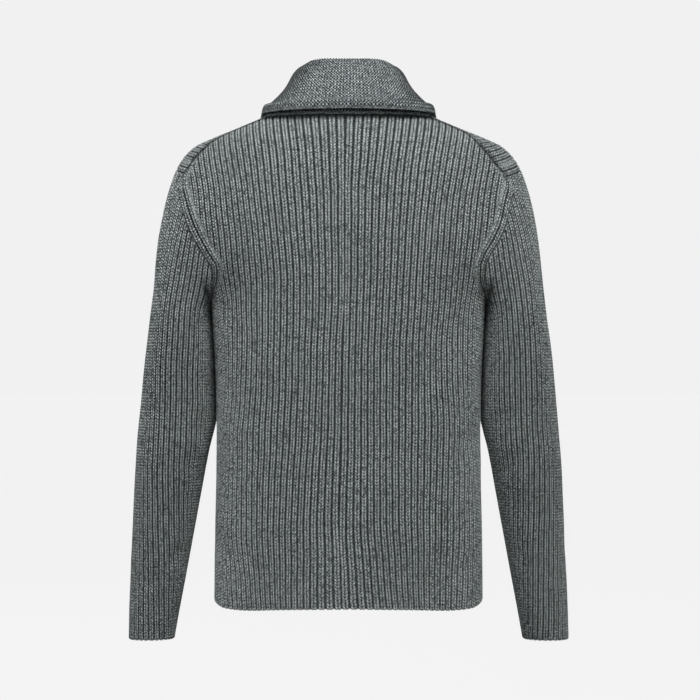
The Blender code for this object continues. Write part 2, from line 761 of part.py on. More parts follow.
def build_collar(grids, cloth):
    """The shawl collar: one strip from the left bottom of the V, round the neck, to the right."""
    back, back_normals = grids["back"]
    centre = NECK_COLUMNS + SHOULDER_COLUMNS
    halves = []
    for side, hand in ((1, "left"), (-1, "right")):
        front, front_normals = grids["front_" + hand]
        if side > 0:
            neck = slice(centre, centre + NECK_COLUMNS + 1)
        else:
            neck = slice(centre, centre - NECK_COLUMNS - 1, -1)
        v_edge = slice(-2, BODY_ROWS - 1, -1)
        seam = np.concatenate((back[-1, neck], front[v_edge, 0]))
        normals = np.concatenate((back_normals[-1, neck], front_normals[v_edge, 0]))
        root = seam - 0.5 * WALL * normals
        rows, along = collar_half(side, root)
        halves.append((rows, normals, along))
    left, right = halves
    middle = np.concatenate((left[0][:, :0:-1], right[0]), axis=1)
    normals = np.concatenate((left[1][:0:-1], right[1]))
    along = np.concatenate((left[2][:0:-1], right[2]))

    wall = grid_normals(middle)
    if np.sum(wall[0] * normals) < 0:
        wall = -wall
    wall[0] = normals
    level = np.array([1, 1, 0.0])
    wall[:, 0] = wall[0, 0] * level
    wall[:, -1] = wall[0, -1] * level
    middle[0] = pull_back(middle[0], middle[1], 0.5 * SEAM_GAP + 0.1)
    for end, beside in ((0, 1), (-1, -2)):
        middle[:, end] = pull_back(middle[:, end], middle[:, beside], 0.5 * SEAM_GAP)
    thickness = np.full(middle.shape[:2], 0.5 * COLLAR_WALL)
    towards_edge = np.linspace(0, 1, len(middle))[:, None]
    thickness = thickness + EDGE_SWELL * ease((towards_edge - 0.8) / 0.2)
    at_break = ease((along - 440) / 57)[None]
    thickness = blend(thickness, 0.5 * BAND_WALL, at_break)[:, :, None]
    wall_between("collar", middle + thickness * wall, middle - thickness * wall, cloth)


# ---------------------------------------------------------------- bands and buttons

def band_grid(name, z):
    """Outer face of a button band at heights z: rows up, columns from its seam to its edge."""
    side = 1 if name.endswith("left") else -1
    at_seam, at_edge = BANDS[name]
    half = 0.5 * BAND_WIDTH
    rows = []
    for level in z:
        row = []
        for share in (0, 0.5, 1):
            x = half - 0.5 * SEAM_GAP - share * (BAND_WIDTH - SEAM_GAP)
            q = form.front_length(level) - x
            point = form.point(q, level)
            row.append(point + form.normal(q, level) * blend(at_seam, at_edge, share))
        rows.append(row)
    grid = np.array(rows)
    return grid * np.array([side, 1, 1])


def build_bands(cloth):
    """Both button bands. Returns the left one's outer grid, on which the buttons lie."""
    heights = body_heights(hem_height(form.front_length(HEM_Z)))
    heights[-1] -= 0.5 * SEAM_GAP
    grids = {name: band_grid(name, heights) for name in BANDS}
    for name, outer in grids.items():
        wall_between(name, outer, outer + np.array([0, BAND_WALL, 0]), cloth)
    return grids["band_left"]


def build_buttons(band, horn):
    """Four-hole buttons with a raised rim, on the outer face of the left band."""
    reach = 0.5 * BUTTON_DIAMETER
    for number in range(BUTTON_COUNT):
        z = TOP_BUTTON_Z - BUTTON_PITCH * number
        under = np.interp(np.linspace(z - reach, z + reach, 9), band[:, 1, 2], band[:, :, 1].min(1))
        seat = under.min() - SEAM_GAP
        turned_button("button_%d" % (number + 1), seat, z, horn)


def turned_button(name, seat_y, z, horn):
    """A disc turned about Y with a dished face, bored with four holes."""
    radius = 0.5 * BUTTON_DIAMETER
    profile = (
        # radius, proud of the seat
        (radius - 1.6, 0.0),
        (radius, 1.4),
        (radius - 0.5, BUTTON_THICKNESS),
        (radius - 2.2, BUTTON_THICKNESS),
        (radius - 3.4, BUTTON_THICKNESS - 1.2),
    )
    sides = 20
    vertices, faces = [], []
    for r, height in profile:
        for k in range(sides):
            turn = 2 * math.pi * k / sides
            vertices.append((r * math.cos(turn), seat_y - height, z + r * math.sin(turn)))
    last = len(profile) - 1
    for ring in range(last):
        for k in range(sides):
            a, b = ring * sides + k, ring * sides + (k + 1) % sides
            faces.append((a, b, b + sides, a + sides))
    faces.append(tuple(range(sides))[::-1])
    faces.append(tuple(range(last * sides, (last + 1) * sides)))
    button = add_solid(name, vertices, faces, horn)
    bore_holes(button, seat_y, z)


def bore_holes(button, seat_y, z):
    """Cuts the four thread holes through a button."""
    drills = []
    for across, up in ((-1, -1), (1, -1), (-1, 1), (1, 1)):
        place = np.array([across * 1.9, seat_y - 0.5 * BUTTON_THICKNESS, z + up * 1.9]) * MILLIMETRE
        bpy.ops.mesh.primitive_cylinder_add(vertices=8, radius=0.95 * MILLIMETRE,
                                            depth=3 * BUTTON_THICKNESS * MILLIMETRE,
                                            location=place, rotation=(math.pi / 2, 0, 0))
        drills.append(bpy.context.active_object)
    for number, drill in enumerate(drills):
        drill.name = "%s_drill_%d" % (button.name, number + 1)
        drill.hide_render = True
        drill.display_type = "WIRE"
        cut = button.modifiers.new("hole %d" % (number + 1), "BOOLEAN")
        cut.operation = "DIFFERENCE"
        cut.object = drill


def main():
    for item in list(bpy.data.objects):
        bpy.data.objects.remove(item, do_unlink=True)
    rib = material_named("grey rib knit", (0.127, 0.141, 0.141), 0.9)
    moss = material_named("grey moss stitch", (0.165, 0.181, 0.184), 0.9)
    horn = material_named("dark horn", (0.03, 0.028, 0.026), 0.35)
    grids = build_torso_and_sleeves(rib)
    build_collar(grids, moss)
    band = build_bands(moss)
    build_buttons(band, horn)


main()
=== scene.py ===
# %% [markdown]
# # A shawl collar cardigan in chunky rib knit
# A cardigan is knitted as flat pieces of cloth that are sewn together: one back, two fronts,
# two sleeves, a collar strip and two button bands. This lesson builds each of those pieces as
# a thin shell with real ribs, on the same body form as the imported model, so that every seam
# meets. All lengths are worked in millimetres and turned into metres when a mesh is made.
# The front faces -Y, and the wearer's left is +X.

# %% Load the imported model
import math

import bmesh
import bpy
import numpy as np
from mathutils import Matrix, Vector


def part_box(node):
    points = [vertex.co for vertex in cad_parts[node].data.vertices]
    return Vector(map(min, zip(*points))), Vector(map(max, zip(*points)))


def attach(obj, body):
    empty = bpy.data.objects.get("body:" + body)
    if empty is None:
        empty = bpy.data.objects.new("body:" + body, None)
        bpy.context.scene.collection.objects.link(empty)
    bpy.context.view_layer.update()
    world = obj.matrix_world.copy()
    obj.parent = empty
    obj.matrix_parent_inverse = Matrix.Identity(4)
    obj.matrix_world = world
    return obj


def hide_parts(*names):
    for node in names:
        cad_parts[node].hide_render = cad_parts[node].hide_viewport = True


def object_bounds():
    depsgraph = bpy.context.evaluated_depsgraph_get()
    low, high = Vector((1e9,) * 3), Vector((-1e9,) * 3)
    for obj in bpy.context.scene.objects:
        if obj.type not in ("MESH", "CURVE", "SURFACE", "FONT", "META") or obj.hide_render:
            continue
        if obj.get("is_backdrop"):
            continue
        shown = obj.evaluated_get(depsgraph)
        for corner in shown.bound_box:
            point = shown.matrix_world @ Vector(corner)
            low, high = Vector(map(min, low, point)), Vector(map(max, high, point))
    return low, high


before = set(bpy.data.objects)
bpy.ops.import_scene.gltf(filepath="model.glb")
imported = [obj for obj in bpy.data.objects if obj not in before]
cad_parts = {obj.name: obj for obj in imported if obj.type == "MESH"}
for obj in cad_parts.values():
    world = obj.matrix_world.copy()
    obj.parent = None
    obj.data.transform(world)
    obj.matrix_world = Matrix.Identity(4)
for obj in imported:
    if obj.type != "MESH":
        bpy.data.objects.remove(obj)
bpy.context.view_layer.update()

# %% [markdown]
# ## The sizes
# A knitter works from a chart of sizes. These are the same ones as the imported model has:
# horizontal sections of the body and of a sleeve, the lines of the seams, and the collar's
# fold and edge at distances along its seam. Only the numbers that shape a piece are here.

# %% The cut, in millimetres
MM = 0.001                    # one millimetre in metres
WALL = 3.0                    # rib knit
COLLAR_WALL = 5.0             # moss stitch collar
BAND_WALL = 4.0               # moss stitch button bands
SEAM_GAP = 0.2                # between two pieces at a seam
HEM_Z = -675.0                # centre of the hem
ARMPIT_Z = -248.0             # also the bottom of the V, where the collar meets the bands
CUFF_Z = -733.0
RIDGE_NECK_Z = 4.5            # the shoulder's top line, at the neck
RIDGE_TIP_Z = -73.0           # and where the armhole crosses it
NECKLINE_Z = -3.0             # back neck seam at the centre
NECKLINE_RISE = 2.6           # from there to the shoulder seams
NECK_HALF_WIDTH = 113.0
BAND_WIDTH = 36.0
BUTTON_DIAMETER = 20.0
BUTTON_THICKNESS = 3.6
BUTTON_COUNT = 5

TORSO = (
    # z, half_width, side_y, back, front, squareness
    (40, 60, 4, 48, 52, 2.0), (12, 98, 5, 67, 70, 2.0), (0, 119.5, 5, 78, 80, 2.05),
    (-17, 158, 6, 88, 90, 2.15), (-31, 192, 7, 94, 98, 2.2), (-42, 215, 7, 98, 102, 2.2),
    (-64, 235, 8, 101, 107, 2.25), (-90, 246, 9, 103, 112, 2.3), (-120, 252, 10, 104, 117, 2.35),
    (-150, 253, 11, 104, 121, 2.4), (-180, 243, 13, 102, 124, 2.4), (-210, 221, 15, 99, 126, 2.45),
    (-235, 200, 16, 96, 127, 2.5), (-255, 191, 17, 94, 127, 2.55), (-300, 187, 19, 90, 125, 2.6),
    (-400, 182.8, 20, 86, 120, 2.65), (-500, 183.6, 20, 84, 117, 2.7),
    (-600, 185.4, 20, 84, 117, 2.75), (-700, 186.5, 20, 85, 118, 2.75),
)
HEM = ((0, -668), (25, -672), (55, -678), (85, -679), (140, -677), (260, -675))
ARMHOLE = (
    # z, back_left_x, back_right_x, front_x
    (-242, 189, 189, 189.5), (-228, 186, 186.5, 187), (-214, 187, 187.3, 189),
    (-200, 196, 192, 195.5), (-178, 209.5, 205.3, 206.5), (-155, 221, 215.7, 217),
    (-128, 230, 222, 227), (-107, 234, 226.5, 233), (-97, 234, 226, 235),
)
ARMHOLE_FRONT_END = (-79, 239)
SHOULDER_SEAM = {
    # side: (x, z)
    1: ((113, -0.4), (150, -15.6), (172, -26.5), (189, -37), (200, -47.5), (209, -56),
        (218, -68), (225, -82)),
    -1: ((113, -0.4), (140, -12.6), (162.5, -24), (171.5, -33), (186.5, -50), (202, -69),
         (210, -79), (215.7, -87.4)),
}
FRONT_EDGE = (
    # z, x
    (4.5, 114), (-10, 108), (-50, 90), (-100, 69), (-160, 43), (-215, 23), (-248, 18), (-700, 18),
)
FRONT_ROWS = (
    # inner_z, outer_z, straight
    (-248, -248, 0), (-246, -245.5, 0), (-241, -239, 0), (-230, -228, 0), (-205, -205, 0),
    (-160, -160, 0), (-108, -116, 0.3), (-55, -92, 0.7), (-14, -79, 1),
)
FRONT_KNOTS = (0.0, 0.055, 0.11, 0.17, 0.25, 0.36, 0.47, 0.58, 0.69, 0.83, 1.0)
SLEEVE = (
    # z, inner_x, outer_x, middle_y, half_depth, squareness
    (-290, 190.5, 278, -6, 70, 2.3), (-350, 187.2, 286.2, -13, 66, 2.3),
    (-412, 185.5, 293.3, -20, 61, 2.3), (-468, 197.2, 298.5, -24, 57, 2.3),
    (-546, 211.9, 303.5, -30, 51, 2.25), (-636, 228.8, 308.2, -37, 44, 2.2),
    (-700, 241, 311.3, -41, 39, 2.2), (-733, 247, 312.3, -43, 36.5, 2.2),
)
COLLAR = (
    # along, fold_x, fold_y, fold_z, edge_x, edge_y, edge_z, hollow, bulge, roll
    (0, 0, 62, 72, 0, 101, 7, 3, 4, 1), (63, 47, 50, 73, 66, 90, 7, 5, 4, 1),
    (106, 63, 28, 66, 101, 62, 7, 10, 0, 1), (135, 68, 12, 60, 114.5, 33, 7, 14, -3, 1),
    (165, 69, -8, 52, 117.5, -4, 8, 14, -4, 1), (218, 63, -46, 34, 125, -51, -6, 9, -2, 1),
    (249, 58, -68, 14, 128, -75, -27, 5, 2, 1), (278, 51, -88, -10, 125, -89, -49, 2, 5, 1),
    (307, 45, -104, -40, 119, -97.5, -76, 0, 6, 1), (336, 38, -113, -70, 108, -104.5, -101, 0, 6, 1),
    (363, 31, -119, -102, 94, -109.5, -126, 0, 6, 1), (389, 25, -122, -132, 79, -114, -149, 0, 5, 1),
    (412, 20, -123.5, -158, 64, -116.5, -170, 0, 4, 1), (434, 14, -124.5, -182, 49, -118.5, -190, 0, 3, 0.9),
    (457, 9, -125, -206, 28, -123, -209, 0, 2, 0.7), (480, 5, -118, -230, 2, -121, -231, 0, 0, 0.3),
    (497, 3, -112.2, -248, -17.5, -112.0, -248, 0, 0, 0),
)
COLLAR_LENGTH = COLLAR[-1][0]
ROLL_RADIUS = 4.5
TUCK = ((0, 0, 0), (430, 0, 0), (468, 3, 7), (485, 3.5, 9), (497, 3.0, 6.3))
BANDS = {"band_left": (2.5, 3.8), "band_right": (-0.5, -2.5)}
print("body chart of", len(TORSO), "sections, sleeve chart of", len(SLEEVE))

# %% [markdown]
# ## Curves through the chart
# A chart gives a size at a few heights, and cloth runs smoothly between them. A plain cubic
# curve can swing past its knots and leave a dent, so this one keeps each slope small enough
# never to overshoot.

# %% Curves through a chart
def smooth_curve(knots, values):
    order = np.argsort(knots)
    x = np.asarray(knots, float)[order]
    y = np.asarray(values, float)[order]
    step = np.diff(x)
    rise = np.diff(y) / step
    slope = np.zeros(len(x))
    slope[0], slope[-1] = rise[0], rise[-1]
    for i in range(1, len(x) - 1):
        if rise[i - 1] * rise[i] > 0:
            before = 2 * step[i] + step[i - 1]
            after = step[i] + 2 * step[i - 1]
            slope[i] = (before + after) / (before / rise[i - 1] + after / rise[i])

    def at(query):
        q = np.clip(np.asarray(query, float), x[0], x[-1])
        i = np.clip(np.searchsorted(x, q) - 1, 0, len(step) - 1)
        t = (q - x[i]) / step[i]
        return ((1 + 2 * t) * (1 - t) ** 2 * y[i] + t * (1 - t) ** 2 * step[i] * slope[i]
                + t * t * (3 - 2 * t) * y[i + 1] + t * t * (t - 1) * step[i] * slope[i + 1])

    return at


def columns_of(table, *names):
    rows = np.array(table, float)
    return {name: smooth_curve(rows[:, 0], rows[:, i + 1]) for i, name in enumerate(names)}


def unit(vectors):
    return vectors / np.maximum(np.linalg.norm(vectors, axis=-1, keepdims=True), 1e-9)


def blend(a, b, t):
    return a + (b - a) * t


def ease(t):
    t = np.clip(t, 0, 1)
    return t * t * (3 - 2 * t)


def between(value, start, end):
    """0 before start and 1 past end, with a soft change between them."""
    return ease((value - start) / (end - start))


def signed_power(values, power):
    return np.sign(values) * np.abs(values) ** power


def lengths_along(points):
    """Distance along a line of points, from its first."""
    return np.concatenate(([0], np.cumsum(np.linalg.norm(np.diff(points, axis=0), axis=1))))


def read_line(where, knots, values):
    """Values (n, ...) read between knots at other places along the same line."""
    flat = values.reshape(len(knots), -1)
    out = np.stack([np.interp(where, knots, flat[:, k]) for k in range(flat.shape[1])], axis=-1)
    return out.reshape((len(where),) + values.shape[1:])


print("curve check: half width at the waist", round(float(columns_of(TORSO, "w")["w"](-400)), 1), "mm")

# %% [markdown]
# ## The body form
# A worn garment is round, so its pieces are laid on one smooth form instead of being flat.
# Each horizontal section is a rounded oval. A place on it is given by its height z and by q,
# the distance around from the side line: negative to the back and positive to the front.

# %% The torso's form
FORM_STEP = 2.0               # between two levels, and between two places around a level
FORM_LEVELS = (-700, 30)
FORM_SPANS = (-350, 370)      # distances around from the side line, to the back and the front


class Form:
    def __init__(self):
        section = columns_of(TORSO, "half_width", "side_y", "back", "front", "squareness")
        self.levels = np.arange(FORM_LEVELS[0], FORM_LEVELS[1] + FORM_STEP, FORM_STEP)
        self.spans = np.arange(FORM_SPANS[0], FORM_SPANS[1] + FORM_STEP, FORM_STEP)
        # A quarter turn each way from the side line, and a fifth of one more past both ends.
        turns = math.pi / 2 * np.linspace(1.2, -1.2, 481)
        back_end, side, front_end = 40, 240, 440
        self.x = np.zeros((len(self.levels), len(self.spans)))
        self.y = np.zeros_like(self.x)
        self.to_back = np.zeros(len(self.levels))
        self.to_front = np.zeros(len(self.levels))
        for row, z in enumerate(self.levels):
            power = 2 / section["squareness"](z)
            depth = np.where(turns > 0, section["back"](z), section["front"](z))
            x = section["half_width"](z) * signed_power(np.cos(turns), power)
            y = section["side_y"](z) + depth * signed_power(np.sin(turns), power)
            around = np.concatenate(([0], np.cumsum(np.hypot(np.diff(x), np.diff(y)))))
            q = around - around[side]
            self.x[row] = np.interp(self.spans, q, x)
            self.y[row] = np.interp(self.spans, q, y)
            self.to_back[row] = -q[back_end]
            self.to_front[row] = q[front_end]

    def back_length(self, z):
        return np.interp(z, self.levels, self.to_back)

    def front_length(self, z):
        return np.interp(z, self.levels, self.to_front)

    def point(self, q, z):
        q, z = np.broadcast_arrays(np.asarray(q, float), np.asarray(z, float))
        row = np.clip((z - self.levels[0]) / FORM_STEP, 0, len(self.levels) - 1.001)
        column = np.clip((q - self.spans[0]) / FORM_STEP, 0, len(self.spans) - 1.001)
        i, j = row.astype(int), column.astype(int)
        u, v = row - i, column - j

        def read(grid):
            near = blend(grid[i, j], grid[i, j + 1], v)
            far = blend(grid[i + 1, j], grid[i + 1, j + 1], v)
            return blend(near, far, u)

        return np.stack([read(self.x), read(self.y), z], axis=-1)

    def normal(self, q, z):
        reach = 3 * FORM_STEP
        around = self.point(q + reach, z) - self.point(q - reach, z)
        up = self.point(q, z + reach) - self.point(q, z - reach)
        return unit(np.cross(up, around))

    def q_at_x(self, x, z, towards):
        if towards == "back":
            span = np.linspace(-self.back_length(z), 0, 400)
        else:
            span = np.linspace(self.front_length(z), 0, 400)
        return float(np.interp(x, self.point(span, z)[:, 0], span))


form = Form()
print("chest round:", round(float(2 * (form.back_length(-300) + form.front_length(-300)))), "mm")

# %% [markdown]
# ## Seam lines on the form
# The armhole, the seam behind the shoulder and the edge of the V are lines on the form.
# The fronts reach over the top of the shoulder to a seam behind it, which is why a strip of
# the front shows from behind, with its ribs square to the seam.

# %% Armhole, shoulder seam, hem
FRONT_EDGE_X = columns_of(FRONT_EDGE, "x")["x"]
HEM_CURVE = columns_of(HEM, "z")["z"]


def armhole_curve(column, end):
    place = ("back_left", "back_right", "front").index(column) + 1
    knots = [(row[0], row[place]) for row in ARMHOLE if row[0] < end[0] - 6] + [end]
    return knots[0][0], columns_of(knots, "x")["x"]


def armhole_q(z, curve, towards):
    first, edge = curve
    q = form.q_at_x(float(edge(max(z, first))), max(z, first), towards)
    rise = (z - ARMPIT_Z) / (first - ARMPIT_Z)
    return q * math.sqrt(max(0.0, min(1.0, rise)))


class ShoulderSeam:
    def __init__(self, side):
        rows = np.array(SHOULDER_SEAM[side], float)
        fine_x = np.linspace(rows[0, 0], rows[-1, 0], 200)
        self.height = smooth_curve(rows[:, 0], rows[:, 1])
        self.z = self.height(fine_x)
        self.end_x, self.end_z = rows[-1]
        self.q = np.array([form.q_at_x(x, z, "back") for x, z in zip(fine_x, self.z)])
        length = lengths_along(form.point(self.q, self.z))
        self.share = length / length[-1]


def ridge_height(share):
    z = np.linspace(RIDGE_NECK_Z, RIDGE_TIP_Z, 200)
    length = lengths_along(form.point(0.0, z))
    return np.interp(share, length / length[-1], z)


def hem_height(q):
    return float(HEM_CURVE(abs(q)))


seams = {side: ShoulderSeam(side) for side in (1, -1)}
seam_lengths = [lengths_along(form.point(seam.q, seam.z))[-1] for seam in seams.values()]
print("shoulder seams:", [round(float(length)) for length in seam_lengths], "mm")

# %% [markdown]
# ## Where the rows of a piece lie
# A knitted piece grows in rows, from the hem up. The shell has a row of points every 7 to 9 mm,
# which is enough for soft cloth, and closer ones at the hem, where the edge is rounded. One
# column of a piece is worked out from its share of the way from the centre back, or from the
# front edge, to the side.

# %% Rows of the back and the fronts
HEM_STEPS = np.array([0, 0.7, 1.8, 3.4, 5.6]) / (ARMPIT_Z - HEM_Z)
BODY_STEPS = np.concatenate((HEM_STEPS, np.linspace(0.021, 1, 50)))
BODY_ROWS = len(BODY_STEPS) - 1
BACK_ARMHOLE_ROWS = 48
FRONT_ARMHOLE_ROWS = 60
COARSE = 40                   # columns that are worked out exactly; the ribs are read between


def body_heights(hem):
    return blend(hem, ARMPIT_Z, BODY_STEPS)


def back_column(share, side):
    """One column of the back, from hem to top edge; share is 0 at the centre, 1 at the side."""
    seam = seams[side]
    curve = armhole_curve("back_left" if side > 0 else "back_right", (seam.end_z, seam.end_x))
    edge_length = form.back_length(seam.end_z) + form.q_at_x(seam.end_x, seam.end_z, "back")

    def q_at(z):
        whole = form.back_length(z)
        if z <= ARMPIT_Z:
            length = whole
        elif z <= seam.end_z:
            length = whole + armhole_q(z, curve, "back")
        else:
            length = edge_length + 0.45 * (z - seam.end_z)
        return 0.0 if share == 1 and z <= ARMPIT_Z else share * length - whole

    def above_top(z):
        x = float(form.point(q_at(z), z)[0])
        if x < NECK_HALF_WIDTH:
            return z - (NECKLINE_Z + NECKLINE_RISE * (x / NECK_HALF_WIDTH) ** 2)
        return z - float(seam.height(x))

    low, high = seam.end_z - 1.0, 12.0
    for _ in range(24):
        middle = 0.5 * (low + high)
        if above_top(middle) > 0:
            high = middle
        else:
            low = middle
    top_z = seam.end_z if share == 1 else 0.5 * (low + high)
    above = blend(ARMPIT_Z, top_z, np.linspace(0, 1, BACK_ARMHOLE_ROWS + 1)[1:] ** 1.8)
    z = np.concatenate((body_heights(hem_height(q_at(HEM_Z))), above))
    return np.array([q_at(level) for level in z]), z


def front_column(share, end, side):
    """One column of a front, from the hem over the shoulder to the seam behind it."""
    seam = seams[side]
    curve = armhole_curve("front", ARMHOLE_FRONT_END)

    def q_at(z):
        return blend(form.q_at_x(float(FRONT_EDGE_X(z)), z, "front"), 0.0, share)

    body_z = body_heights(hem_height(q_at(HEM_Z)))
    body_q = np.array([q_at(level) for level in body_z])
    over_q, over_z = [], []
    for inner_z, outer_z, straight in FRONT_ROWS:
        inner_x = float(FRONT_EDGE_X(inner_z))
        inner_q = form.q_at_x(inner_x, inner_z, "front")
        outer_q = armhole_q(outer_z, curve, "front") if outer_z > ARMPIT_Z else 0.0
        outer_x = float(form.point(outer_q, outer_z)[0])
        level = blend(inner_z, outer_z, share)
        by_x = form.q_at_x(blend(inner_x, outer_x, share), level, "front")
        over_q.append(outer_q if share == 1 else blend(blend(inner_q, outer_q, share), by_x, straight))
        over_z.append(level)
    over_q += [0.0, float(np.interp(end, seam.share, seam.q))]
    over_z += [float(ridge_height(share)), float(np.interp(end, seam.share, seam.z))]
    steps = np.linspace(0, 1, FRONT_ARMHOLE_ROWS + 1)[1:]
    q = np.concatenate((body_q, smooth_curve(FRONT_KNOTS, over_q)(steps)))
    z = np.concatenate((body_z, smooth_curve(FRONT_KNOTS, over_z)(steps)))
    return q, z


SHARES = np.linspace(0, 1, COARSE + 1)
back_half = {side: [np.stack(v, axis=1) for v in zip(*(back_column(s, side) for s in SHARES))]
             for side in (1, -1)}
front_half = {side: [np.stack(v, axis=1) for v in zip(*(front_column(s, s, side) for s in SHARES))]
              for side in (1, -1)}
print("rows of points:", len(back_half[1][0]), "in the back and", len(front_half[1][0]), "in a front")

# %% [markdown]
# ## What a rib is
# In a chunky rib, columns of knit stitches stand proud and columns of purl stitches sink
# between them as furrows. A knit column shows two slanting legs of yarn with a shallow groove
# where they meet. Eight points across give that section: furrow, flank, leg, groove, and the
# same back again. The reverse of the cloth rises where the face sinks.

# %% The section of a rib
POINTS_PER_RIB = 8
FURROW = 2.6                  # depth of the furrow between two ribs
GROOVE = 1.3                  # depth of the groove between the two legs
SLOPE = 0.42                  # width of a flank, and of a leg's slope, in half ribs


def rib_relief(phase):
    """How far the face lies under the top of a rib; a furrow is at each whole number."""
    t = np.abs(phase % 1 - 0.5) * 2
    return FURROW * ease((t - 0.5) / SLOPE) + GROOVE * np.clip(1 - t / SLOPE, 0, 1) ** 1.2


def sway(x, z, seed):
    """A slow uneven wave, for lines that no hand keeps quite straight."""
    return (np.sin(0.021 * x + 0.013 * z + seed) + 0.6 * np.sin(0.037 * z - 0.017 * x + 2.1 * seed)
            + 0.45 * np.sin(0.079 * z + 0.029 * x + 1.3 * seed)) / 2.05


def crease_field(x, z, creases):
    """Soft troughs and ridges along lines from (x, z) to (x, z); width and height in mm."""
    total = np.zeros_like(x)
    for x0, z0, x1, z1, width, height in creases:
        length = math.hypot(x1 - x0, z1 - z0)
        ax, az = (x1 - x0) / length, (z1 - z0) / length
        along = ((x - x0) * ax + (z - z0) * az) / length
        across = (x - x0) * az - (z - z0) * ax
        total += height * np.sin(math.pi * np.clip(along, 0, 1)) ** 0.8 * np.exp(-(across / width) ** 2)
    return total


print("rib section, mm below the top:", [round(float(rib_relief(k / 8)), 2) for k in range(9)])

# %% [markdown]
# ## Making a shell of cloth
# Each piece is a closed thin shell: a grid of points for the face, one for the reverse, and a
# rim that joins them. Ribs that run out at a slanting edge end in one line, and merging their
# points leaves a clean edge. The knit's own directions are kept as a UV map, with U
# across the ribs and V along them, so that stitches follow the cloth round the body.

# %% From grids to a mesh
MERGE_REACH = 0.02            # points nearer than this are one


def shell(name, face, reverse, u, v, shade, full, open_rows=None):
    """A shell from two grids of points in millimetres, with its knit map and two attributes:
    shade is the painted shade, 1 down in a seam, and fullness is 1 where the stitches stand up fully.

    Its sides have a rim over their first open_rows rows, or all of them; below, they meet.
    A small hole where three rims come together, as under the arm, is filled with one face.
    """
    rows, columns = face.shape[:2]
    lift = rows * columns
    vertices = np.concatenate((face.reshape(-1, 3), reverse.reshape(-1, 3))) * MM
    index = np.arange(lift).reshape(rows, columns)
    a, b = index[:-1, :-1].ravel(), index[:-1, 1:].ravel()
    c, d = index[1:, 1:].ravel(), index[1:, :-1].ravel()
    quads = [np.stack((a, b, c, d), axis=1), np.stack((a, d, c, b), axis=1) + lift]
    rims = [(index[0], 1), (index[-1], -1)]
    rims += [(index[:open_rows, 0], -1), (index[:open_rows, -1], 1)]
    for line, turn in rims:
        p, q = line[:-1], line[1:]
        quads.append(np.stack((p, p + lift, q + lift, q), axis=1)[:, ::turn])
    quads = np.concatenate(quads)
    corners = vertices[quads]
    across = np.cross(corners[:, 2] - corners[:, 0], corners[:, 3] - corners[:, 1])
    if np.sum(corners.mean(axis=1) * across) < 0:
        quads = quads[:, ::-1]
    mesh = bpy.data.meshes.new(name)
    mesh.from_pydata(vertices.tolist(), [], quads.tolist())
    mesh.uv_layers.new(name="knit")
    corner_of = np.zeros(len(mesh.loops), np.int32)
    mesh.loops.foreach_get("vertex_index", corner_of)
    uv = np.stack((u.ravel(), v.ravel()), axis=1)
    uv = np.concatenate((uv, uv))[corner_of]
    mesh.uv_layers["knit"].data.foreach_set("uv", uv.astype(np.float32).ravel())
    for title, values in (("shade", shade), ("fullness", full)):
        layer = mesh.attributes.new(title, "FLOAT", "POINT")
        layer.data.foreach_set("value", np.tile(values.ravel(), 2).astype(np.float32))
    piece = bpy.data.objects.new(name, mesh)
    bpy.context.collection.objects.link(piece)

    build = bmesh.new()
    build.from_mesh(mesh)
    bmesh.ops.remove_doubles(build, verts=build.verts, dist=MERGE_REACH * MM)
    bmesh.ops.holes_fill(build, edges=[e for e in build.edges if e.is_boundary], sides=6)
    loose = [e for e in build.edges if e.is_boundary]
    build.to_mesh(mesh)
    triangles = sum(len(f.verts) - 2 for f in build.faces)
    build.free()
    mesh.polygons.foreach_set("use_smooth", [True] * len(mesh.polygons))
    print(name, triangles, "triangles,", len(loose), "open edges")
    return piece


print("points merge within", MERGE_REACH, "mm")

# %% [markdown]
# ## The two sides of ribbed cloth
# Rib knit has the same columns on both sides, so the reverse follows the face at a part of its
# depth. A free edge curls round instead of ending square, and at a sewn seam the face is drawn
# down into a ditch.

# %% Face and reverse
EDGE_CURL = 2.2               # a free edge is round over this width
SEAM_DITCH = 1.2              # depth of the ditch at a seam
REVERSE_DEPTH = 0.4           # depth of the reverse's ribs, as a share of the face's


def rounded_end(distance):
    """Share of the full thickness near a free edge, for an edge that is round."""
    t = np.clip(distance / EDGE_CURL, 0, 1)
    return 0.25 + 0.75 * np.sqrt(1 - (1 - t) ** 2)


def knit_walls(points, normals, drape, relief, rib_depth, edge, seam_near):
    """Face and reverse of ribbed cloth. edge is the distance to a free edge, in millimetres,
    and seam_near is 1 at a sewn seam, where the face dips into a ditch."""
    round_off = rounded_end(edge)
    face_in = relief * rib_depth + SEAM_DITCH * seam_near
    face_in = blend(0.5 * WALL, face_in, round_off)
    reverse_in = WALL + REVERSE_DEPTH * rib_depth * (2.4 * relief / FURROW - 2) * (1 - seam_near)
    reverse_in = blend(0.5 * WALL + 0.15, reverse_in, round_off)
    lift = drape[..., None]
    face = points + normals * (lift - face_in[..., None])
    reverse = points + normals * (lift - reverse_in[..., None])
    return face, reverse


print("rounded edge, share of the thickness 0, 1 and 2 mm in:",
      [round(float(rounded_end(np.array(d))), 2) for d in (0.0, 1.0, 2.0)])

# %% [markdown]
# ## The back
# The back is knitted from the hem up with 56 ribs. They lie a little wider apart near the
# middle at the hem and across the shoulders, and close up at the waist, where the cloth
# stretches less. The chart says how far every fourth rib lies from the middle one. Two more
# ribs follow each side seam and armhole as a border, and the others end where they meet it,
# which is how a knitter shapes an armhole.

